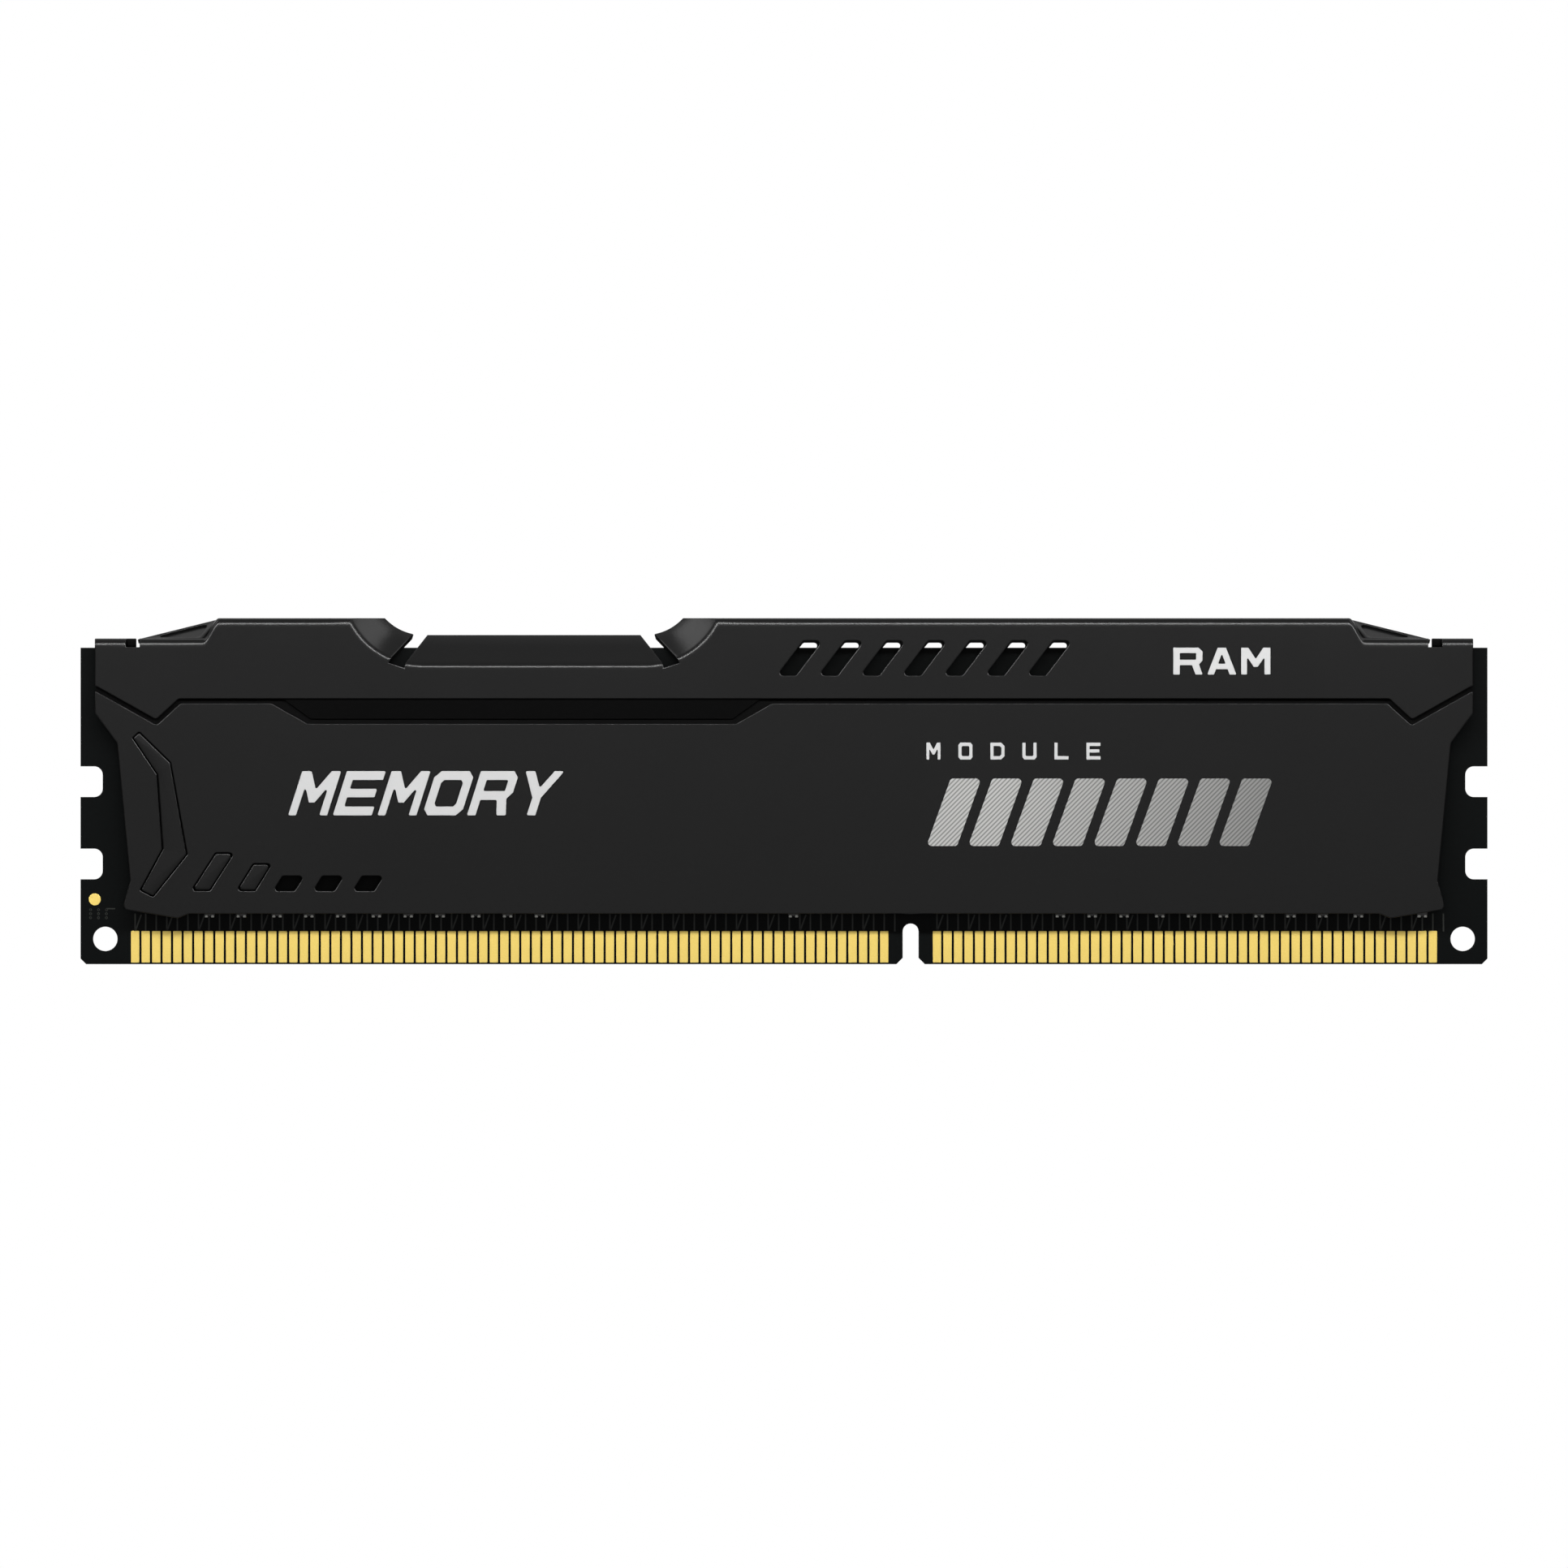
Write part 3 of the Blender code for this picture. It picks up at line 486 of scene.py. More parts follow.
def repeated(name, template, count, start, step, finish):
    """A plain mesh of count copies of the template, which is removed."""
    made = new_object(name, bpy.data.meshes.new(name))
    change = made.modifiers.new("repeat", "NODES")
    tree = repeat_tree()
    values = {"Template": template, "Count": count, "Start": Vector(start), "Step": Vector(step),
              "Material": finish}
    change.node_group = tree
    for item in tree.interface.items_tree:
        if item.in_out == "INPUT":
            change[item.identifier] = values[item.name]
    made = plain_mesh(made)
    bpy.data.objects.remove(template)
    return made


def block(name, low, high, edge=0.0, segments=2):
    """A block between two corners with rounded edges."""
    mesh = bpy.data.meshes.new(name)
    work = bmesh.new()
    bmesh.ops.create_cube(work, size=1.0)
    size = Vector(high) - Vector(low)
    bmesh.ops.transform(work, verts=work.verts, matrix=Matrix.Translation(
        (Vector(high) + Vector(low)) / 2) @ Matrix.Diagonal((*size, 1)))
    if edge:
        bmesh.ops.bevel(work, geom=work.edges[:], offset=edge, segments=segments, profile=0.5,
                        affect="EDGES", clamp_overlap=True)
    work.to_mesh(mesh)
    work.free()
    return new_object(name, mesh)


# Sizes and colours a user would change


class BoardSettings(bpy.types.PropertyGroup):
    corner_cut: FloatProperty(
        name="Corner cut", description="Chamfer of the two lower corners", default=0.53 * MM, unit="LENGTH")
    notch_depth: FloatProperty(
        name="Latch notch depth", description="How far the latch notches run in", default=2.1 * MM,
        unit="LENGTH")
    notch_height: FloatProperty(
        name="Latch notch height", description="Opening of each latch notch", default=2.9 * MM, unit="LENGTH")
    hole_diameter: FloatProperty(
        name="End hole", description="Diameter of the two end holes", default=2.3 * MM, unit="LENGTH")
    key_width: FloatProperty(
        name="Key slot", description="Width of the key slot", default=1.5 * MM, unit="LENGTH")
    key_depth: FloatProperty(
        name="Key depth", description="Height of the key slot", default=3.85 * MM, unit="LENGTH")


class ContactSettings(bpy.types.PropertyGroup):
    pitch: FloatProperty(
        name="Pitch", description="Distance between contacts", default=1.0 * MM, unit="LENGTH")
    width: FloatProperty(name="Width", description="Width of one contact", default=0.8 * MM, unit="LENGTH")
    lift: FloatProperty(
        name="Lift", description="Gap to the board's lower edge", default=0.15 * MM, unit="LENGTH")
    edge: FloatProperty(
        name="Edge", description="Rounding of a contact's rim", default=0.02 * MM, unit="LENGTH")


class SpreaderSettings(bpy.types.PropertyGroup):
    sheet: FloatProperty(name="Sheet", description="Thickness of the sheet", default=0.7 * MM, unit="LENGTH")
    bend: FloatProperty(name="Bend", description="Radius of the top bend", default=0.75 * MM, unit="LENGTH")
    rim: FloatProperty(name="Rim", description="Rounding of stamped rims", default=0.09 * MM, unit="LENGTH")
    groove: FloatProperty(name="Groove", description="Width of the sunk line", default=0.42 * MM, unit="LENGTH")
    dip_radius: FloatProperty(
        name="Dip radius", description="Radius of the dip's ends at the face", default=7.75 * MM, unit="LENGTH")
    vents: IntProperty(name="Vents", description="Slanted vents in the band", default=7, min=1)
    vent_pitch: FloatProperty(
        name="Vent pitch", description="Distance between vents", default=3.945 * MM, unit="LENGTH")


class FinishSettings(bpy.types.PropertyGroup):
    coat_color: StringProperty(name="Coat", description="Powder coat, sRGB hex", default="#080808")
    coat_speck: StringProperty(name="Coat speck", description="Lighter grain of the coat", default="#0d0d0d")
    mask_color: StringProperty(name="Mask", description="Solder mask, sRGB hex", default="#050606")
    gold_color: StringProperty(name="Gold", description="Contact plating, sRGB hex", default="#e3c867")
    ink_color: StringProperty(name="Ink", description="Printed marks, sRGB hex", default="#999999")


class StageSettings(bpy.types.PropertyGroup):
    width: FloatProperty(
        name="Frame width", description="Width of what the camera sees", default=148.62 * MM, unit="LENGTH")
    center: FloatVectorProperty(
        name="Frame centre", description="What the camera looks at", subtype="XYZ",
        default=(0.0, 0.0, 17.08 * MM))
    floor_color: StringProperty(name="Floor", description="Floor, sRGB hex", default="#efefef")


# The board


def board_outline(sizes):
    """The board's edge with its latch notches, cut corners and key slot."""
    end, top = BOARD_HIGH.x, BOARD_HIGH.z
    radius = LATCH_RADIUS
    right = [(end, top)]
    for level in LATCH_LEVELS:
        high, low = level + sizes.notch_height / 2, level - sizes.notch_height / 2
        inner = end - sizes.notch_depth + radius
        right.append((end, high))
        right += arc((inner, high - radius), radius, 90, 180, 8)
        right += arc((inner, low + radius), radius, 180, 270, 8)
        right.append((end, low))
    right += [(end, sizes.corner_cut), (end - sizes.corner_cut, 0)]
    half = sizes.key_width / 2
    key = [(KEY_X + half + KEY_FLARE, 0), (KEY_X + half, KEY_FLARE)]
    key += arc((KEY_X, sizes.key_depth - half), half, 0, 180, 12)
    key += [(KEY_X - half, KEY_FLARE), (KEY_X - half - KEY_FLARE, 0)]
    return right + key + [(-x, z) for x, z in reversed(right)]


class MEMORY_OT_board(bpy.types.Operator):
    """Makes the circuit board with its mask, laminate edge, traces, vias and alignment dot"""
    bl_idname = "memory_module.board"
    bl_label = "Circuit board"

    def execute(self, context):
        sizes = context.scene.memory_board
        hole_x = BOARD_HIGH.x - HOLE_INSET
        holes = [arc((x, HOLE_LEVEL), sizes.hole_diameter / 2, 0, 352.5, 47) for x in (-hole_x, hole_x)]
        board = plate("circuit_board_detail", [board_outline(sizes), *holes],
                      BOARD_LOW.y, BOARD_HIGH.y, 0.03 * MM, 1)
        paint(board, material("black_solder_mask"), material("glass_laminate_core"))
        for face in board.data.polygons:
            face.material_index = 0 if abs(face.normal.y) > 0.4 else 1
        shade(board)
        settle(board, "board_laminate", "circuit_board")
        self.traces(context)
        self.marks()
        return {"FINISHED"}

    def traces(self, context):
        """Copper lines under the mask, from each contact and one more beside each row, up under the
        spreader, on both faces."""
        contacts = context.scene.memory_contacts
        pieces = []
        mask = material("mask_over_copper")
        for side in (-1, 1):
            face = side * BOARD_HIGH.y
            for low, high in ((LONG_LOW, LONG_HIGH), (SHORT_LOW, SHORT_HIGH)):
                count = round((high.x - low.x) / contacts.pitch) + 1
                first = low.x + contacts.width / 2
                for lean, share in ((0.0, 1), (0.35, 3)):
                    line = block("trace", (-0.07 * MM, face - 0.02 * MM, 0),
                                 (0.07 * MM, face + 0.02 * MM, 1.7 * MM))
                    line.data.transform(Matrix.Translation((0, 0, LONG_HIGH.z - 0.05 * MM))
                                        @ Matrix.Rotation(lean, 4, "Y"))
                    pieces.append(repeated(
                        "traces", line, count // share, (first, 0, 0), (contacts.pitch * share, 0, 0), mask))
        settle(joined("mask_over_traces", pieces), "board_laminate")

    def marks(self):
        """Gold alignment dots, with vias and a short line beside them, on both faces."""
        gold, mask = material("hard_gold_plating"), material("mask_over_copper")
        golden, masked = [], []
        for side in (-1, 1):
            face = side * BOARD_HIGH.y
            depths = sorted((face - side * 0.03 * MM, face + side * 0.025 * MM))
            end = side * BOARD_HIGH.x
            dot = arc((end - side * 1.35 * MM, 6.15 * MM), 0.57 * MM, 0, 352.5, 47)
            golden.append(paint(plate("dot", [dot], *depths, 0.01 * MM, 1), gold))
            start = end - side * 0.95 * MM
            via = arc((0, 0), 0.13 * MM, 0, 330, 11)
            hole = arc((0, 0), 0.07 * MM, 0, 330, 11)
            for row in range(3):
                ring = plate("via", [via, hole], *depths)
                masked.append(repeated("vias", ring, 3, (start, 0, (4.4 + 0.38 * row) * MM),
                                       (-side * 0.75 * MM, 0, 0), mask))
            line = plate("line", [slanted(0, 0, 0.85 * MM, 0.12 * MM, 0)], *depths)
            masked.append(repeated("lines", line, 1, (end - side * 2.85 * MM - 0.42 * MM, 0, 5.2 * MM),
                                   (0, 0, 0), mask))
        settle(joined("alignment_dots", golden), "contact_gold")
        settle(joined("vias_and_silk", masked), "board_laminate")


class MEMORY_OT_contacts(bpy.types.Operator):
    """Makes the four rows of gold edge contacts"""
    bl_idname = "memory_module.contacts"
    bl_label = "Edge contacts"

    def execute(self, context):
        sizes = context.scene.memory_contacts
        top = LONG_HIGH.z
        for side, face in ((-1, "front"), (1, "back")):
            for row, low, high in (("long", LONG_LOW, LONG_HIGH), ("short", SHORT_LOW, SHORT_HIGH)):
                near, far = sorted((side * (BOARD_HIGH.y - 0.01 * MM), side * -LONG_LOW.y))
                half = sizes.width / 2
                outline = rounded(slanted(-half, sizes.lift, sizes.width, top - sizes.lift, 0), 0.06 * MM, 2)
                pad = plate("pad", [outline], near, far, sizes.edge, 1)
                count = round((high.x - low.x - sizes.width) / sizes.pitch) + 1
                made = repeated(f"{face}_contacts_{row}_row_detail", pad, count, (low.x + half, 0, 0),
                                (sizes.pitch, 0, 0), material("hard_gold_plating"))
                shade(made)
                settle(made, "contact_gold", f"{face}_contacts_{row}_row")
        return {"FINISHED"}


# What sits on the board


class MEMORY_OT_chips(bpy.types.Operator):
    """Finishes the memory chips and makes the solder balls under them"""
    bl_idname = "memory_module.chips"
    bl_label = "Memory chips"

    def execute(self, context):
        compound, tin = material("chip_moulding_compound"), material("tinned_solder")
        for name in CHIP_NODES + ["identification_memory_chip"]:
            paint(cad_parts[name], compound)
        pitch, across = 0.8 * MM, 0.42 * MM
        rows, columns = 13, 3  # of each of the two fields under a chip
        fields = []
        for side, face in ((-1, "front"), (1, "back")):
            low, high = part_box(f"{face}_memory_chip_1")
            middle = (low + high) / 2
            mesh = bpy.data.meshes.new("ball")
            work = bmesh.new()
            bmesh.ops.create_uvsphere(work, u_segments=8, v_segments=4, radius=across / 2)
            bmesh.ops.transform(work, matrix=Matrix.Diagonal((1, 0.75, 1, 1)), verts=work.verts)
            work.to_mesh(mesh)
            work.free()
            ball = new_object("ball", mesh)
            gap_middle = side * (BOARD_HIGH.y + min(abs(low.y), abs(high.y))) / 2
            column = repeated("column", ball, rows, (0, gap_middle, middle.z - rows // 2 * pitch),
                              (0, 0, pitch), tin)
            field = repeated("field", column, columns, (0, 0, 0), (pitch, 0, 0), tin)
            both = repeated("both", field, 2, (-4 * pitch, 0, 0), (6 * pitch, 0, 0), tin)
            for i in range(len(CHIP_NODES) // 2):
                chip_low, chip_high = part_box(f"{face}_memory_chip_{i + 1}")
                copy = new_object("fields", both.data.copy())
                copy.data.transform(Matrix.Translation(((chip_low.x + chip_high.x) / 2, 0, 0)))
                fields.append(copy)
            bpy.data.objects.remove(both)
        settle(joined("solder_balls", fields), "contact_gold")
        return {"FINISHED"}


class MEMORY_OT_small_parts(bpy.types.Operator):
    """Makes the resistor arrays and the capacitors with their tinned ends"""
    bl_idname = "memory_module.small_parts"
    bl_label = "Small parts"

    def execute(self, context):
        ceramic, tin = material("fired_ceramic"), material("tinned_solder")
        pieces = []
        for name in ARRAY_NODES:
            low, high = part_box(name)
            inset = 0.12 * MM
            body = block("body", (low.x, low.y, low.z + inset), (high.x, high.y, high.z - inset), 0.04 * MM)
            pieces.append(paint(body, ceramic))
            middle = (low.x + high.x) / 2
            reach, half = 0.27 * MM, 0.16 * MM  # a terminal's length and half its width
            for x in (middle - 0.3 * MM, middle + 0.3 * MM):
                for z0, z1 in ((low.z, low.z + reach), (high.z - reach, high.z)):
                    foot = block("foot", (x - half, low.y - 0.01 * MM, z0),
                                 (x + half, high.y + 0.01 * MM, z1), 0.06 * MM)
                    pieces.append(paint(foot, tin))
        settle(joined("resistor_arrays", pieces), "part_ceramic", *ARRAY_NODES)
        pieces = []
        for name in CAPACITOR_NODES:
            low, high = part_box(name)
            cap = 0.35 * MM
            body = block("body", (low.x + 0.02 * MM, low.y + 0.02 * MM, low.z + 0.1 * MM),
                         (high.x - 0.02 * MM, high.y - 0.02 * MM, high.z - 0.1 * MM), 0.05 * MM)
            pieces.append(paint(body, ceramic))
            for z0, z1 in ((low.z, low.z + cap), (high.z - cap, high.z)):
                end = block("end", (low.x, low.y, z0), (high.x, high.y, z1), 0.08 * MM)
                pieces.append(paint(end, tin))
        settle(joined("decoupling_capacitors", pieces), "part_ceramic", *CAPACITOR_NODES)
        return {"FINISHED"}


class MEMORY_OT_thermal_pads(bpy.types.Operator):
    """Makes the two soft pads, pressed in over the chips and bulging at their rims"""
    bl_idname = "memory_module.thermal_pads"
    bl_label = "Thermal pads"

    def execute(self, context):
        outline = rounded(rectangle(PAD_LOW.x, PAD_LOW.z, PAD_HIGH.x, PAD_HIGH.z), 0.6 * MM, 6)
        rim = (PAD_HIGH.y - PAD_LOW.y) * 0.42
        pad = plate("front_gap_pad", [outline], PAD_LOW.y, PAD_HIGH.y, rim, 4)
        paint(pad, material("filled_silicone"))
        back = mirrored_in_depth(pad, "back_gap_pad")
        for obj, name in ((pad, "front_thermal_pad"), (back, "back_thermal_pad")):
            shade(obj, 60)
            settle(obj, "thermal_silicone", name)
        return {"FINISHED"}


# The heat spreader


def groove_path():
    """The middle of the sunk line that parts the band from the panel."""
    half = [(END + 0.4 * MM, 26.42 * MM), (59.5 * MM, 22.93 * MM), (57.3 * MM, GROOVE_Z)]
    return [(-x, z) for x, z in half] + half[::-1]


def window_corners():
    """The long window's corners along the line's middle, from left to right."""
    return [(-48.5 * MM, GROOVE_Z), (-45.1 * MM, WINDOW_Z), (-4.6 * MM, WINDOW_Z), (-1.2 * MM, GROOVE_Z)]


def vent_outlines(sizes, short):
    """The leaning vents; the back half's are a little shorter and narrower."""
    for i in range(sizes.vents):
        left = VENT_LEFT + i * sizes.vent_pitch
        yield rounded(slanted(left, VENT_Z, 1.8 * MM - short, 3.28 * MM - short, 2.5 * MM), 0.28 * MM)


def port_outlines():
    """The small leaning openings low in the panel."""
    for i in range(PORTS):
        left = PORT_LEFT + i * PORT_PITCH
        yield rounded(slanted(left, PORT_Z, 2.05 * MM, 1.42 * MM, 0.88 * MM), 0.26 * MM)


def panel_side():
    """The lower panel's right side from the groove's end down, with each corner's radius."""
    return [
        ((END, 23.85 * MM), 0.5 * MM), ((END - 2.1 * MM, 21.0 * MM), 0.5 * MM),
        ((END - 3.35 * MM, FOOT + 3.1 * MM), 0.8 * MM), ((END - 2.6 * MM, FOOT + 0.45 * MM), 0.5 * MM),
        ((END - 7.85 * MM, FOOT - 0.43 * MM), 0.4 * MM), ((END - 8.9 * MM, FOOT), 0.5 * MM),
    ]


def panel_outline(sizes):
    """The panel below the groove, whose upper edge drops around the long window."""
    path = groove_path()
    path[3:3] = window_corners()
    upper = offset_path(path, -sizes.groove / 2)
    start = (END, height_on(upper, END))
    left_start = (-END, start[1])
    side = panel_side()
    top = [(p, 0.35 * MM) for p in upper[1:-1]]
    corners = [(left_start, 0.15 * MM)] + top + [(start, 0.15 * MM)] + side
    corners += [((-x, z), r) for (x, z), r in reversed(side)]
    return rounded([c for c, _ in corners], [r for _, r in corners])


def shade_backing_outline():
    """The dark sheet behind band and panel, a little inside their edges: painted shade seen through the sunk
    line, the ports and the gaps round the raised shapes.
    """
    inset = 0.12 * MM
    side = [((END - inset, 27.25 * MM), 0)] + [((x - inset, z + inset * 0.5), 0) for (x, z), r in panel_side()]
    corners = [c for c, _ in side]
    return corners + [(-x, z) for x, z in reversed(corners)]


DIP_X = -23.7 * MM                # middle of the finger dip
DIP_FLAT = 10.5 * MM              # half the dip's straight run
DIP_BOTTOM = 28.37 * MM           # its fold on the front face
DIP_RISE = 2.87 * MM              # from there up to the module's middle plane
FLAP_SHARE = 0.828                # how much narrower the flap is at the middle plane
SLOPE_BEND = 0.47                 # share of a right-angle bend that a slope's fold takes
RIDGE_END = END - 11.82 * MM
RAMP_RUN = 1.6 * MM               # along X, where the front edge drops from ridge to shelf
RAMP_FRONT = RIDGE_END + RAMP_RUN
SHELF_END = END - 4.2 * MM
HOOK_SIDE = END - 4.25 * MM
SHELF_STEP = 0.8 * MM             # the facet starts this far behind the front face


def fold_depth(x):
    """How deep the flat shelf runs at x before the end ramp's facet rises from it."""
    share = (x - RAMP_FRONT) / (SHELF_END - RAMP_FRONT)
    return -SEAM - 0.15 * MM + (1 - share) * (SHELF_STEP - FACE + SEAM + 0.15 * MM)


def straight_column(sizes, x, height, end):
    """A column that turns a full right angle: its corner, where its bend starts and its flange's end."""
    return (x, height), (x, height - sizes.bend), end


def dip_columns(sizes):
    """Columns of the dip's right rounded end, from the ridge inwards, and of the flap in its middle."""
    center = DIP_BOTTOM + sizes.dip_radius
    slope_reach = sizes.bend * SLOPE_BEND

    def on_arc(radius, angle):
        return DIP_X + DIP_FLAT + radius * math.sin(angle), center - radius * math.cos(angle)

    far = sizes.dip_radius - DIP_RISE
    near_start = math.acos((center - RIDGE) / sizes.dip_radius)
    foot_start = math.acos((center - RIDGE + sizes.bend) / (sizes.dip_radius + slope_reach))
    far_start = math.acos((center - RIDGE) / far)
    near_stop, far_stop = math.radians(23.2), math.radians(10.6)
    scoop = []
    for i in range(19):
        t = i / 18
        corner = on_arc(sizes.dip_radius, near_start + (near_stop - near_start) * t)
        foot = on_arc(sizes.dip_radius + slope_reach, foot_start + (near_stop - foot_start) * t)
        x, z = on_arc(far, far_start + (far_stop - far_start) * t)
        scoop.append((corner, foot, Vector((x, -SEAM, z))))
    flap = []
    for degrees in (12.7, 9.5, 6.3, 3.1, 0):
        angle = math.radians(degrees)
        corner = on_arc(sizes.dip_radius, angle)
        foot = on_arc(sizes.dip_radius + slope_reach, angle)
        x = DIP_X + (corner[0] - DIP_X) * FLAP_SHARE
        flap.append((corner, foot, Vector((x, -SEAM, DIP_BOTTOM + DIP_RISE))))
    for x in (DIP_X + DIP_FLAT / 2, DIP_X):
        flap.append(((x, DIP_BOTTOM), (x, DIP_BOTTOM - slope_reach),
                     Vector((DIP_X + (x - DIP_X) * FLAP_SHARE, -SEAM, DIP_BOTTOM + DIP_RISE))))
    return scoop, flap


def end_columns(sizes, tab_start):
    """Columns of the right end: the S-shaped end of the ridge, the shelf before the facet, and the tab."""
    ramp = []
    for i in range(15):
        t = i / 14
        height = RIDGE - (RIDGE - SHELF) * t * t * (3 - 2 * t)
        x = RIDGE_END + RAMP_RUN * t
        depth = fold_depth(RAMP_FRONT) * t - (SEAM + 0.1 * MM) * (1 - t)
        end = Vector((x + 0.06 * MM * (1 - t), depth, height))
        ramp.append(straight_column(sizes, x, height, end))
    for x in [RAMP_FRONT + (HOOK_SIDE - RAMP_FRONT) * i / 6 for i in range(1, 7)]:
        ramp.append(straight_column(sizes, x, SHELF, Vector((x, fold_depth(x), SHELF))))
    tab = [straight_column(sizes, x, SHELF, Vector((x, -SEAM, SHELF)))
           for x in (tab_start, (tab_start + END) / 2, END)]
    return ramp, tab


def mirrored_columns(columns, middle=0.0):
    """The same columns on the other side of the middle, still from left to right."""
    flip = 2 * middle
    return [((flip - c[0], c[1]), (flip - f[0], f[1]), Vector((flip - e.x, e.y, e.z)))
            for c, f, e in reversed(columns)]


def top_strips(sizes, hook_gap):
    """The five bent strips along the top edge, left to right, each a list of columns."""
    scoop, flap = dip_columns(sizes)
    flap = mirrored_columns(flap[-2::-1], DIP_X) + flap[::-1]
    ramp, tab = end_columns(sizes, HOOK_SIDE + hook_gap)

    def ridge(start, end, count):
        xs = [start + (end - start) * i / count for i in range(1, count)]
        return [straight_column(sizes, x, RIDGE, Vector((x, -SEAM, RIDGE))) for x in xs]

    edge = scoop[0][0][0]
    left = mirrored_columns(ramp) + ridge(-RIDGE_END, 2 * DIP_X - edge, 8)
    left += mirrored_columns(scoop[::-1], DIP_X)
    right = scoop[::-1] + ridge(edge, RIDGE_END, 24) + ramp
    return [mirrored_columns(tab), left, flap, right, tab]


def bent_line(corner, foot, end):
    """Points of one column, from the flat face round the bend to the flange's end."""
    start = Vector((corner[0], -FACE, corner[1]))
    first = Vector((foot[0], -FACE, foot[1]))
    inward = (end - start).normalized()
    last = start + inward * min((first - start).length, (end - start).length * 0.8)
    line = [first.lerp(start, k / 8).lerp(start.lerp(last, k / 8), k / 8) for k in range(9)]
    support = first + (first - start).normalized() * 0.12 * MM
    return [support, *line, last.lerp(end, 0.08), last.lerp(end, 0.55), end]


def top_sheet(sizes, hook_gap, short):
    """The band above the sunk line and the flange that folds in over the board, as one bent sheet."""
    mesh = bpy.data.meshes.new("top_sheet")
    work = bmesh.new()
    foot = band_foot(sizes)
    foot = rounded(foot, [0, *[0.35 * MM] * (len(foot) - 2), 0])
    loops = [[work.verts.new((x, -FACE, z)) for x, z in foot]]
    upper = []
    for i, strip in enumerate(top_strips(sizes, hook_gap)):
        grid = [[work.verts.new(p) for p in bent_line(*column)] for column in strip]
        for left, right in zip(grid, grid[1:]):
            for k in range(len(left) - 1):
                work.faces.new((left[k], right[k], right[k + 1], left[k + 1]))
        if i in (1, 4):
            notch = (HOOK_SIDE, HOOK_SIDE + hook_gap)
            sides = (-notch[1], -notch[0]) if i == 1 else notch
            upper += [work.verts.new((x, -FACE, NOTCH_FLOOR)) for x in sides]
        upper += [line[0] for line in grid]
    loops[0] += upper[::-1]
    for outline in vent_outlines(sizes, short):
        loops.append([work.verts.new((x, -FACE, z)) for x, z in outline])
    edges = [work.edges.get((a, b)) or work.edges.new((a, b))
             for loop in loops for a, b in zip(loop, loop[1:] + loop[:1])]
    filled = bmesh.ops.triangle_fill(work, use_beauty=True, edges=edges, normal=(0, -1, 0))["geom"]
    fill = {f for f in filled if isinstance(f, bmesh.types.BMFace)}
    inner = [e for e in work.edges if len(e.link_faces) == 2 and fill.issuperset(e.link_faces)]
    bmesh.ops.dissolve_limit(work, angle_limit=0.01, use_dissolve_boundaries=False, verts=[], edges=inner)
    work.to_mesh(mesh)
    work.free()
    made = new_object("top_sheet", mesh)
    paint(made, *[None] * 3)  # outer face, cut edges and inner face, until the coat goes on
    wall = made.modifiers.new("wall", "SOLIDIFY")
    wall.thickness = sizes.sheet
    wall.offset = -1.0
    wall.material_offset_rim = 1
    wall.material_offset = 2
    made = plain_mesh(made)
    work = bmesh.new()
    work.from_mesh(made.data)
    for vertex in work.verts:
        vertex.co.y = min(vertex.co.y, -SEAM)
    rims = [e for e in work.edges if {f.material_index for f in e.link_faces} == {0, 1} and not on_ramp(e)]
    bmesh.ops.bevel(
        work, geom=rims, offset=sizes.rim, segments=3, profile=0.5, affect="EDGES", clamp_overlap=False)
    work.to_mesh(made.data)
    work.free()
    return made


def on_ramp(edge):
    """Whether the edge lies where the ridge's S-shaped end tucks under the ramp's facet."""
    middle = (edge.verts[0].co + edge.verts[1].co) / 2
    return RIDGE_END - 0.2 * MM < abs(middle.x) < HOOK_SIDE and middle.y > SHELF_STEP - 0.02 * MM - FACE


def band_foot(sizes):
    """The band's lower edge along the sunk line, from left to right."""
    path = offset_path(groove_path(), sizes.groove / 2)
    ends = [(-END, height_on(path, -END)), (END, height_on(path, END))]
    return [ends[0], *path[1:-1], ends[1]]


def ramp_facet(side):
    """The sloping end of the ridge: a three-cornered frame around a pocket with rounded corners."""
    tip = Vector((RIDGE_END + 0.2 * MM, -SEAM, RIDGE - 0.1 * MM))
    foot = Vector((SHELF_END + 0.15 * MM, -SEAM, SHELF - 0.05 * MM))
    front = Vector((RAMP_FRONT, fold_depth(RAMP_FRONT) - 0.1 * MM, SHELF - 0.03 * MM))
    along = (foot - tip).normalized()
    out = along.cross(front - tip).normalized()
    if out.z < 0:
        out = -out
    across = out.cross(along)
    if (front - tip).dot(across) < 0:
        across = -across
    corners = [((p - tip).dot(along), (p - tip).dot(across)) for p in (tip, foot, front)]
    middle = Vector((sum(c[0] for c in corners) / 3 - 0.25 * MM, sum(c[1] for c in corners) / 3))
    pocket = [middle.lerp(Vector(c), 0.72) for c in corners]
    hole = rounded(pocket, [0.45 * MM, 0.25 * MM, 0.4 * MM], 5)
    frame_plate = plate("facet_frame", [corners, hole], 0, 0.3 * MM, 0.1 * MM)
    floor = plate("facet_floor", [corners], 0.24 * MM, 0.5 * MM)
    place = Matrix((
        (along.x, -out.x, across.x, tip.x), (along.y, -out.y, across.y, tip.y),
        (along.z, -out.z, across.z, tip.z), (0, 0, 0, 1)))
    turn = Matrix.Diagonal((side, 1, 1, 1)) @ place
    for piece in (frame_plate, floor):
        piece.data.transform(turn)
        weld(piece, 1e-8)
    return [frame_plate, floor]


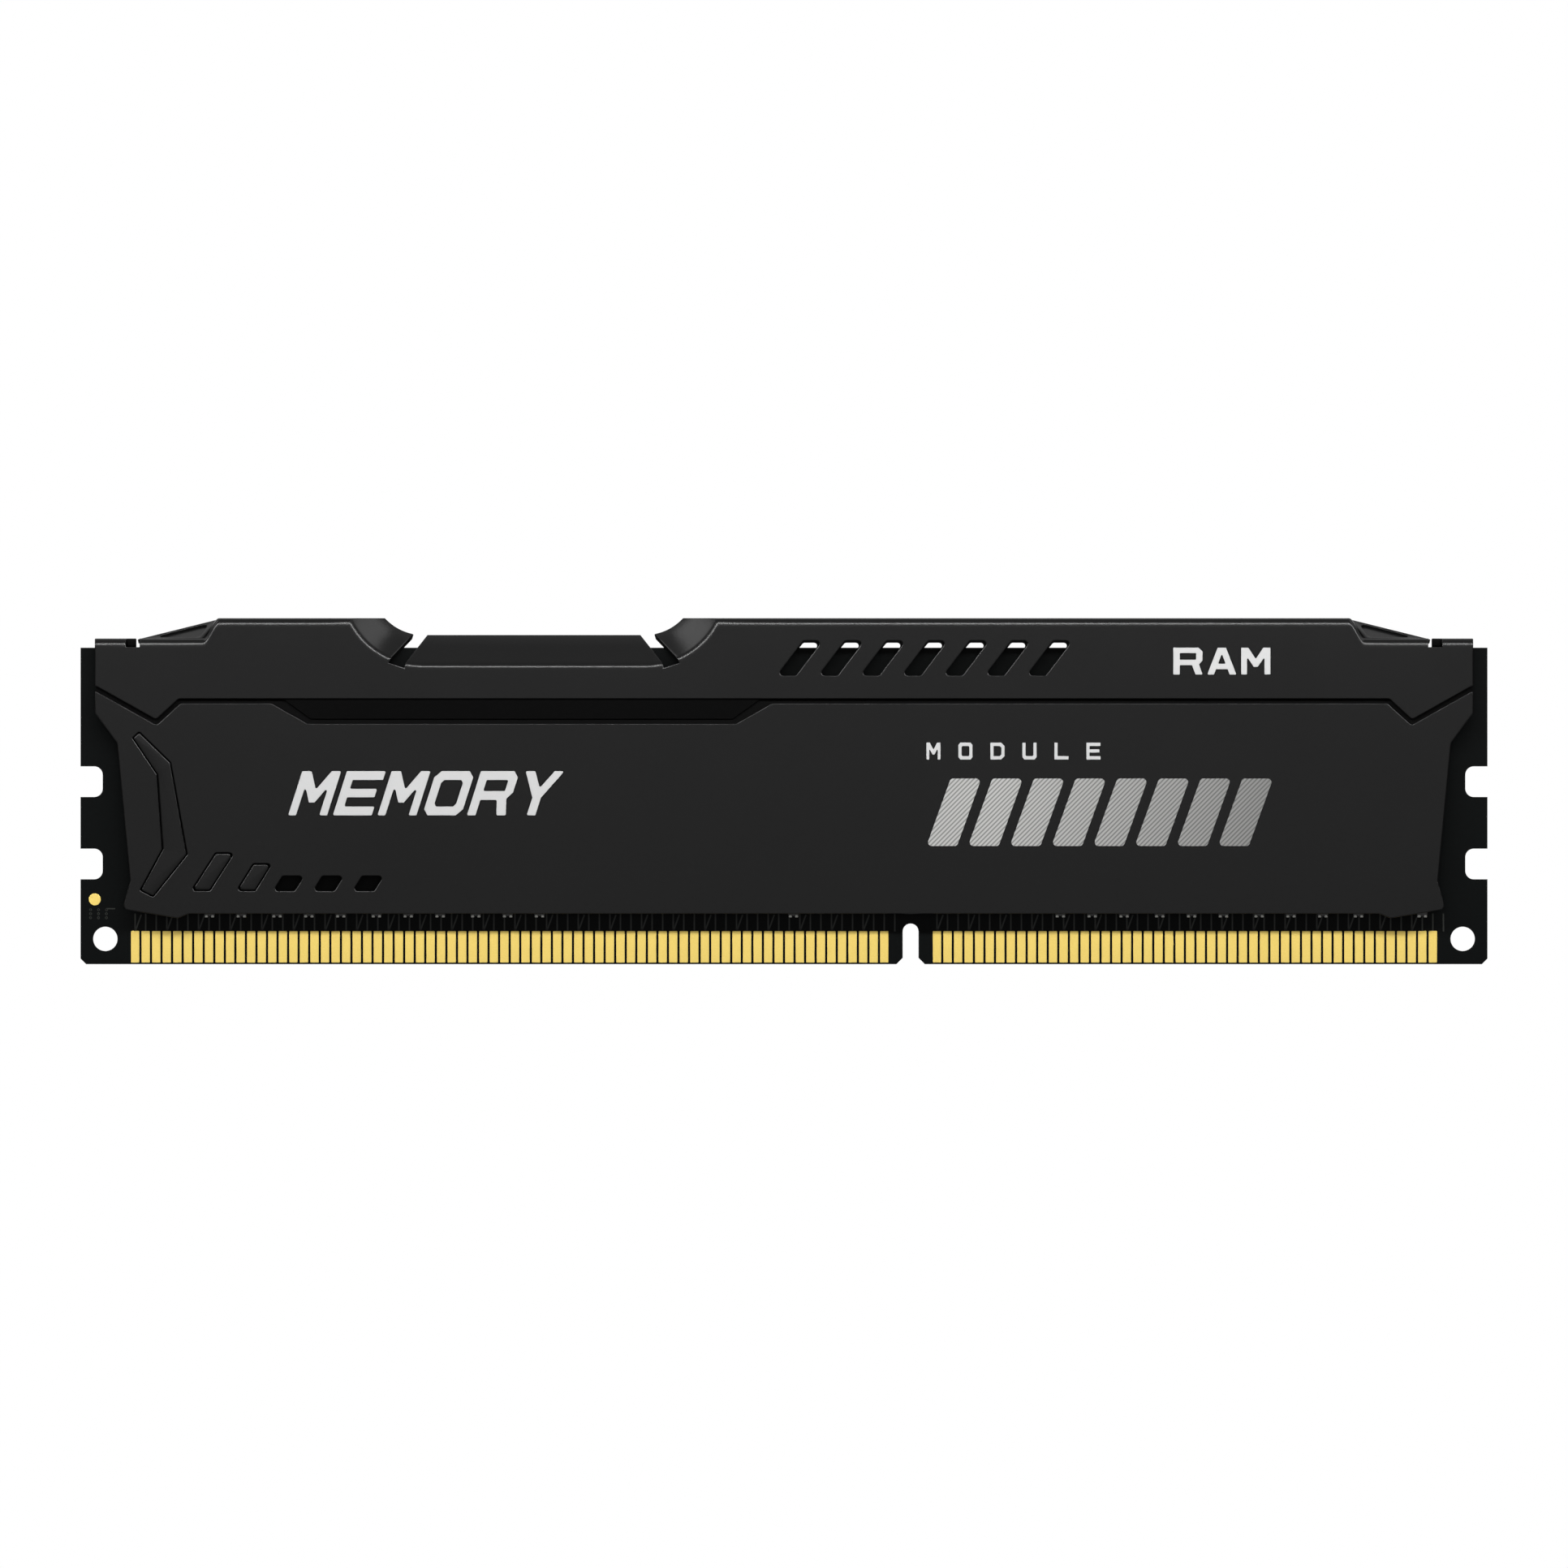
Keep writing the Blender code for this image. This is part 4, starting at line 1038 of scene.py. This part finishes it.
def badge_outlines(grow):
    """The raised blade and the two leaning bars beside it, each side moved out by grow."""
    blade = [(-61.72, 21.45), (-61.12, 22.0), (-58.16, 19.12), (-56.6, 10.41), (-59.8, 6.43), (-61.0, 7.03),
             (-58.9, 10.91), (-59.4, 18.0)]
    shapes = [([(x * MM, z * MM) for x, z in blade[::-1]], 0.16 * MM)]
    for left, height, slant in ((-56.15, 3.53, 2.28), (-51.85, 2.5, 1.55)):
        shapes.append((slanted(left * MM, 7.0 * MM, 1.72 * MM, height * MM, slant * MM), 0.26 * MM))
    for corners, radius in shapes:
        closed = offset_path([corners[-1], *corners, corners[0]], -grow)[1:-1]
        yield rounded(closed, radius)


def spreader_half(sizes, hook_gap, short):
    """One half, facing the front, from its bent top sheet, its panel and the dark sheet of painted shade behind
    them.
    """
    coat, sunk, inlay = map(material, ("powder_coated_aluminium", "sunk_black_coat", "satin_black_inlay"))
    sheet = top_sheet(sizes, hook_gap, short)
    facets = ramp_facet(-1) + ramp_facet(1)
    panel = plate("panel", [panel_outline(sizes), *port_outlines(), *badge_outlines(BADGE_GAP)],
                  -FACE, 0.6 * MM - FACE, sizes.rim)
    backing = plate("backing", [shade_backing_outline(), *port_outlines()], 0.5 * MM - FACE, 0.8 * MM - FACE)
    upper_left, lower_left, lower_right, upper_right = window_corners()
    top, bottom = GROOVE_Z + 0.25 * MM, WINDOW_Z + sizes.groove / 2
    window = [(upper_left[0] + 0.9 * MM, top), (lower_left[0] + 0.25 * MM, bottom),
              (lower_right[0] - 0.25 * MM, bottom), (upper_right[0] - 0.9 * MM, top)]
    floor = plate("window_floor", [window], 0.3 * MM - FACE, 0.55 * MM - FACE, 0.05 * MM, 1)
    badges = [plate("badge", [outline], -FACE - 0.1 * MM, 0.55 * MM - FACE, 0.12 * MM, 3)
              for outline in badge_outlines(-BADGE_GAP)]
    # The sheet behind band and panel takes the near-black shade coat: painted shade in the sunk line and the
    # openings.
    for piece, finish in ((sheet, coat), (panel, coat), (backing, sunk), (floor, inlay)):
        paint(piece, finish)
    for piece in facets + badges:
        paint(piece, coat)
    return [sheet, panel, backing, floor, *facets, *badges]


class MEMORY_OT_front_spreader(bpy.types.Operator):
    """Makes the front half of the heat spreader"""
    bl_idname = "memory_module.front_spreader"
    bl_label = "Front spreader half"

    def execute(self, context):
        pieces = spreader_half(context.scene.memory_spreader, FRONT_NOTCH, 0.0)
        settle(joined("front_spreader_detail", pieces), "coated_aluminium", "front_heat_spreader")
        return {"FINISHED"}


class MEMORY_OT_back_spreader(bpy.types.Operator):
    """Makes the back half of the heat spreader, whose end shelves hook into the front half's notches"""
    bl_idname = "memory_module.back_spreader"
    bl_label = "Back spreader half"

    def execute(self, context):
        pieces = spreader_half(context.scene.memory_spreader, BACK_NOTCH, 0.2 * MM)
        back = []
        for piece in pieces:
            back.append(mirrored_in_depth(piece, piece.name))
            bpy.data.objects.remove(piece)
        outer, width = END - 3.0 * MM, 0.95 * MM
        for side in (-1, 1):
            xs = sorted((side * outer, side * (outer - width)))
            hook = block("hook", (xs[0], -2.25 * MM, HOOK_UNDERSIDE), (xs[1], 2.2 * MM, SHELF - 0.01 * MM),
                         0.18 * MM, 3)
            # The hooks take the near-black shade coat: painted shade of the deep notches they stand in.
            back.append(paint(hook, material("sunk_black_coat")))
        settle(joined("back_spreader_detail", back), "coated_aluminium", "back_heat_spreader")
        return {"FINISHED"}


# Printed marks


LETTERS = {
    "A": ([(0, 0), (.36, 1), (.64, 1), (1, 0), (.77, 0), (.7, .2), (.3, .2), (.23, 0)],
          [(.37, .4), (.63, .4), (.5, .78)]),
    "D": ([(0, 0), (0, 1), (.75, 1), (1, .8), (1, .2), (.75, 0)],
          [(.22, .2), (.22, .8), (.67, .8), (.78, .7), (.78, .3), (.67, .2)]),
    "E": ([(0, 0), (0, 1), (1, 1), (1, .8), (.22, .8), (.22, .6), (.92, .6), (.92, .41), (.22, .41), (.22, .2),
           (1, .2), (1, 0)],),
    "L": ([(0, 0), (0, 1), (.22, 1), (.22, .2), (1, .2), (1, 0)],),
    "M": ([(0, 0), (0, 1), (.24, 1), (.5, .58), (.76, 1), (1, 1), (1, 0), (.8, 0), (.8, .66), (.57, .29),
           (.43, .29), (.2, .66), (.2, 0)],),
    "O": ([(.14, 0), (0, .14), (0, .86), (.14, 1), (.86, 1), (1, .86), (1, .14), (.86, 0)],
          [(.28, .2), (.22, .27), (.22, .73), (.28, .8), (.72, .8), (.78, .73), (.78, .27), (.72, .2)]),
    "R": ([(0, 0), (0, 1), (.86, 1), (1, .86), (1, .52), (.88, .38), (1, 0), (.76, 0), (.64, .35), (.22, .35),
           (.22, 0)], [(.22, .55), (.22, .8), (.78, .8), (.78, .55)]),
    "U": ([(.14, 0), (0, .14), (0, 1), (.22, 1), (.22, .26), (.28, .2), (.72, .2), (.78, .26), (.78, 1), (1, 1),
           (1, .14), (.86, 0)],),
    "Y": ([(.39, 0), (.39, .4), (0, 1), (.25, 1), (.5, .62), (.75, 1), (1, 1), (.61, .4), (.61, 0)],),
}


def word_plates(word, low, high, gap, lean=0.0, painted_shade_rim=0.07 * MM):
    """Plain capitals that fill a box in X and Z on the front face, as thin ink with a fine dark rim of painted
    shade.
    """
    height = high[1] - low[1]
    room = high[0] - low[0] - lean * height
    width = (room + gap) / len(word) - gap
    made = []
    for i, letter in enumerate(word):
        left = low[0] + i * (width + gap)
        outlines = []
        for outline in LETTERS[letter]:
            points = [(left + x * width + lean * z * height, low[1] + z * height) for x, z in outline]
            outlines.append(rounded(points, 0.025 * height, 2))
        made.append(paint(plate("ink", outlines, -FACE - 0.022 * MM, 0.05 * MM - FACE, 0.012 * MM, 1),
                          material("silver_screen_ink")))
        # A dark sheet just wider than each letter: painted shade along the ink's edges.
        made.append(paint(plate("rim", outlines, -FACE - 0.006 * MM, 0.05 * MM - FACE, 0, 1, painted_shade_rim),
                          material("sunk_black_coat")))
    return made


class MEMORY_OT_marks(bpy.types.Operator):
    """Prints plain generic words and a row of hatched bars on the front face"""
    bl_idname = "memory_module.marks"
    bl_label = "Printed marks"

    def execute(self, context):
        words = word_plates("MEMORY", (-47.0 * MM, 14.1 * MM), (-20.8 * MM, 18.3 * MM), 0.55 * MM, 0.32)
        words += word_plates("MODULE", (13.5 * MM, 19.4 * MM), (30.0 * MM, 21.0 * MM), 1.7 * MM, painted_shade_rim=0.02 * MM)
        words += word_plates("RAM", (36.9 * MM, 27.45 * MM), (46.1 * MM, 30.0 * MM), 0.45 * MM)
        settle(joined("printed_words", words), "label_film")
        bars = []
        for i in range(8):
            shape = slanted((13.5 + 3.95 * i) * MM, 11.2 * MM, 2.9 * MM, 6.4 * MM, 2.3 * MM)
            bar = plate("bar", [rounded(shape, 0.35 * MM)], -FACE - 0.012 * MM, 0.05 * MM - FACE)
            bars.append(paint(bar, material("hatched_silver_ink")))
        settle(joined("hatched_bars", bars), "label_film")
        return {"FINISHED"}


class MEMORY_OT_label(bpy.types.Operator):
    """Makes the sticker on the back, with plain bars and stripes instead of print"""
    bl_idname = "memory_module.label"
    bl_label = "Back label"

    def execute(self, context):
        low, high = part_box("back_label")
        film = plate("film", [rounded(rectangle(low.x, low.z, high.x, high.z), 1.0 * MM, 6)],
                     low.y - 0.01 * MM, high.y - 0.015 * MM, 0.01 * MM, 1)
        pieces = [paint(film, material("label_film"))]
        depths = (high.y - 0.03 * MM, high.y)
        # Distance from the right and lower edge, width and height, in millimetres.
        lines = ((2.0, 9.2, 14.0, 1.1), (2.0, 6.9, 20.0, 0.7), (2.0, 5.3, 17.0, 0.7), (2.0, 3.7, 19.0, 0.7))
        for inset, bottom, width, height in lines:
            right, foot = high.x - inset * MM, low.z + bottom * MM
            bar = rectangle(right - width * MM, foot, right, foot + height * MM)
            pieces.append(paint(plate("bar", [bar], *depths), material("label_print")))
        stripe = plate("stripe", [slanted(0, low.z + 2.0 * MM, 0.35 * MM, 5.5 * MM, 0)], *depths)
        pieces.append(repeated("stripes", stripe, 18, (low.x + 3 * MM, 0, 0), (0.85 * MM, 0, 0),
                               material("label_print")))
        settle(joined("back_label_detail", pieces), "label_film", "back_label")
        return {"FINISHED"}


# Stage


# Name, place and size in metres, and power in watts. The key is a thin strip that draws the bright line
# along the upper fold.
LIGHTS = (
    ("key", (0.0, -0.115, 0.082), (0.5, 0.012), 0.82),
    ("left", (-0.42, 0.03, 0.42), (0.3, 0.3), 0.8),
    ("right", (0.42, 0.03, 0.42), (0.3, 0.3), 0.68),
    ("front", (0.0, -1.1, 0.1), (0.8, 0.5), 0.84),
    ("back", (0.0, 1.1, 0.1), (0.8, 0.5), 0.9),
    ("above", (0.0, 0.62, 0.75), (0.8, 0.4), 0.6),
)


class MEMORY_OT_stage(bpy.types.Operator):
    """Makes the pale floor, the soft lights and the camera"""
    bl_idname = "memory_module.stage"
    bl_label = "Stage"

    def execute(self, context):
        settings = context.scene.memory_stage
        mesh = bpy.data.meshes.new("floor")
        mesh.from_pydata([(x, y, -0.2 * MM) for x, y in rectangle(-3, -3, 3, 3)], [], [(0, 1, 2, 3)])
        floor = new_object("floor", mesh)
        floor.visible_diffuse = False
        floor.visible_glossy = False
        finish, _, _ = new_material(
            "matt_studio_floor", base_color=linear(settings.floor_color), roughness=0.9, specular_ior_level=0.1)
        paint(floor, finish)
        for name, place, size, power in LIGHTS:
            self.light(name, place, size, power)
        self.world()
        camera = bpy.data.cameras.new("camera")
        camera.type = "ORTHO"
        camera.ortho_scale = settings.width
        made = bpy.data.objects.new("camera", camera)
        made.location = Vector(settings.center) + Vector((0, -0.6, 0))
        made.rotation_euler = (math.pi / 2, 0, 0)
        context.scene.collection.objects.link(made)
        context.scene.camera = made
        context.scene.view_settings.view_transform = "Standard"
        return {"FINISHED"}

    def light(self, name, place, size, power):
        """A soft rectangular light that looks at the module's middle."""
        data = bpy.data.lights.new(name, "AREA")
        data.shape = "RECTANGLE"
        data.size, data.size_y = size
        data.energy = power
        made = bpy.data.objects.new(name, data)
        made.location = place
        aim = Vector((0, 0, 0.017)) - Vector(place)
        made.rotation_euler = aim.to_track_quat("-Z", "Y").to_euler()
        bpy.context.scene.collection.objects.link(made)

    def world(self):
        """White all round for the eye; what lights the module is dimmer, and dark along the horizon."""
        world = bpy.data.worlds.new("studio")
        world.use_nodes = True
        tree = world.node_tree
        tree.nodes.clear()
        way = node(tree, "ShaderNodeTexCoord").outputs["Generated"]
        split = node(tree, "ShaderNodeSeparateXYZ", {"Vector": way})
        sky = node(tree, "ShaderNodeMapRange", {"Value": split.outputs["Z"], 1: 0.05, 2: 0.9, 3: 0.02, 4: 0.4})
        ground = node(tree, "ShaderNodeMapRange", {
            "Value": split.outputs["Z"], 1: -0.12, 2: -0.35, 3: 0.0, 4: 0.35})
        level = node(tree, "ShaderNodeMath", {0: sky.outputs[0], 1: ground.outputs[0]}, operation="ADD")
        lit = node(tree, "ShaderNodeBackground", {"Color": (1, 1, 1, 1), "Strength": level.outputs[0]})
        seen = node(tree, "ShaderNodeBackground", {"Color": (1, 1, 1, 1), "Strength": 1.0})
        ray = node(tree, "ShaderNodeLightPath")
        both = node(tree, "ShaderNodeMixShader", {
            0: ray.outputs["Is Camera Ray"], 1: lit.outputs[0], 2: seen.outputs[0]})
        node(tree, "ShaderNodeOutputWorld", {"Surface": both.outputs[0]})
        bpy.context.scene.world = world


class MEMORY_OT_finishes(bpy.types.Operator):
    """Makes every material"""
    bl_idname = "memory_module.finishes"
    bl_label = "Finishes"

    def execute(self, context):
        for make in FINISHES:
            make(context.scene.memory_finish)
        return {"FINISHED"}


OPERATORS = (
    MEMORY_OT_finishes, MEMORY_OT_board, MEMORY_OT_contacts, MEMORY_OT_chips, MEMORY_OT_small_parts,
    MEMORY_OT_thermal_pads, MEMORY_OT_front_spreader, MEMORY_OT_back_spreader, MEMORY_OT_marks,
    MEMORY_OT_label, MEMORY_OT_stage,
)
SETTINGS = {
    "memory_board": BoardSettings, "memory_contacts": ContactSettings, "memory_spreader": SpreaderSettings,
    "memory_finish": FinishSettings, "memory_stage": StageSettings,
}


class MEMORY_PT_panel(bpy.types.Panel):
    """Lists the module's steps and sizes"""
    bl_idname = "MEMORY_PT_panel"
    bl_label = "Memory Module"
    bl_space_type = "VIEW_3D"
    bl_region_type = "UI"
    bl_category = "Memory Module"

    def draw(self, context):
        for operator in OPERATORS:
            self.layout.operator(operator.bl_idname)
        for name in SETTINGS:
            settings = getattr(context.scene, name)
            box = self.layout.box()
            for key in settings.bl_rna.properties.keys():
                if key not in ("rna_type", "name"):
                    box.prop(settings, key)


def register():
    for kind in (*SETTINGS.values(), *OPERATORS, MEMORY_PT_panel):
        bpy.utils.register_class(kind)
    for name, kind in SETTINGS.items():
        setattr(bpy.types.Scene, name, PointerProperty(type=kind))


def unregister():
    for name in SETTINGS:
        delattr(bpy.types.Scene, name)
    for kind in reversed((*SETTINGS.values(), *OPERATORS, MEMORY_PT_panel)):
        bpy.utils.unregister_class(kind)


def main():
    register()
    for operator in OPERATORS:
        getattr(bpy.ops.memory_module, operator.bl_idname.split(".")[1])()


if __name__ == "__main__":
    main()
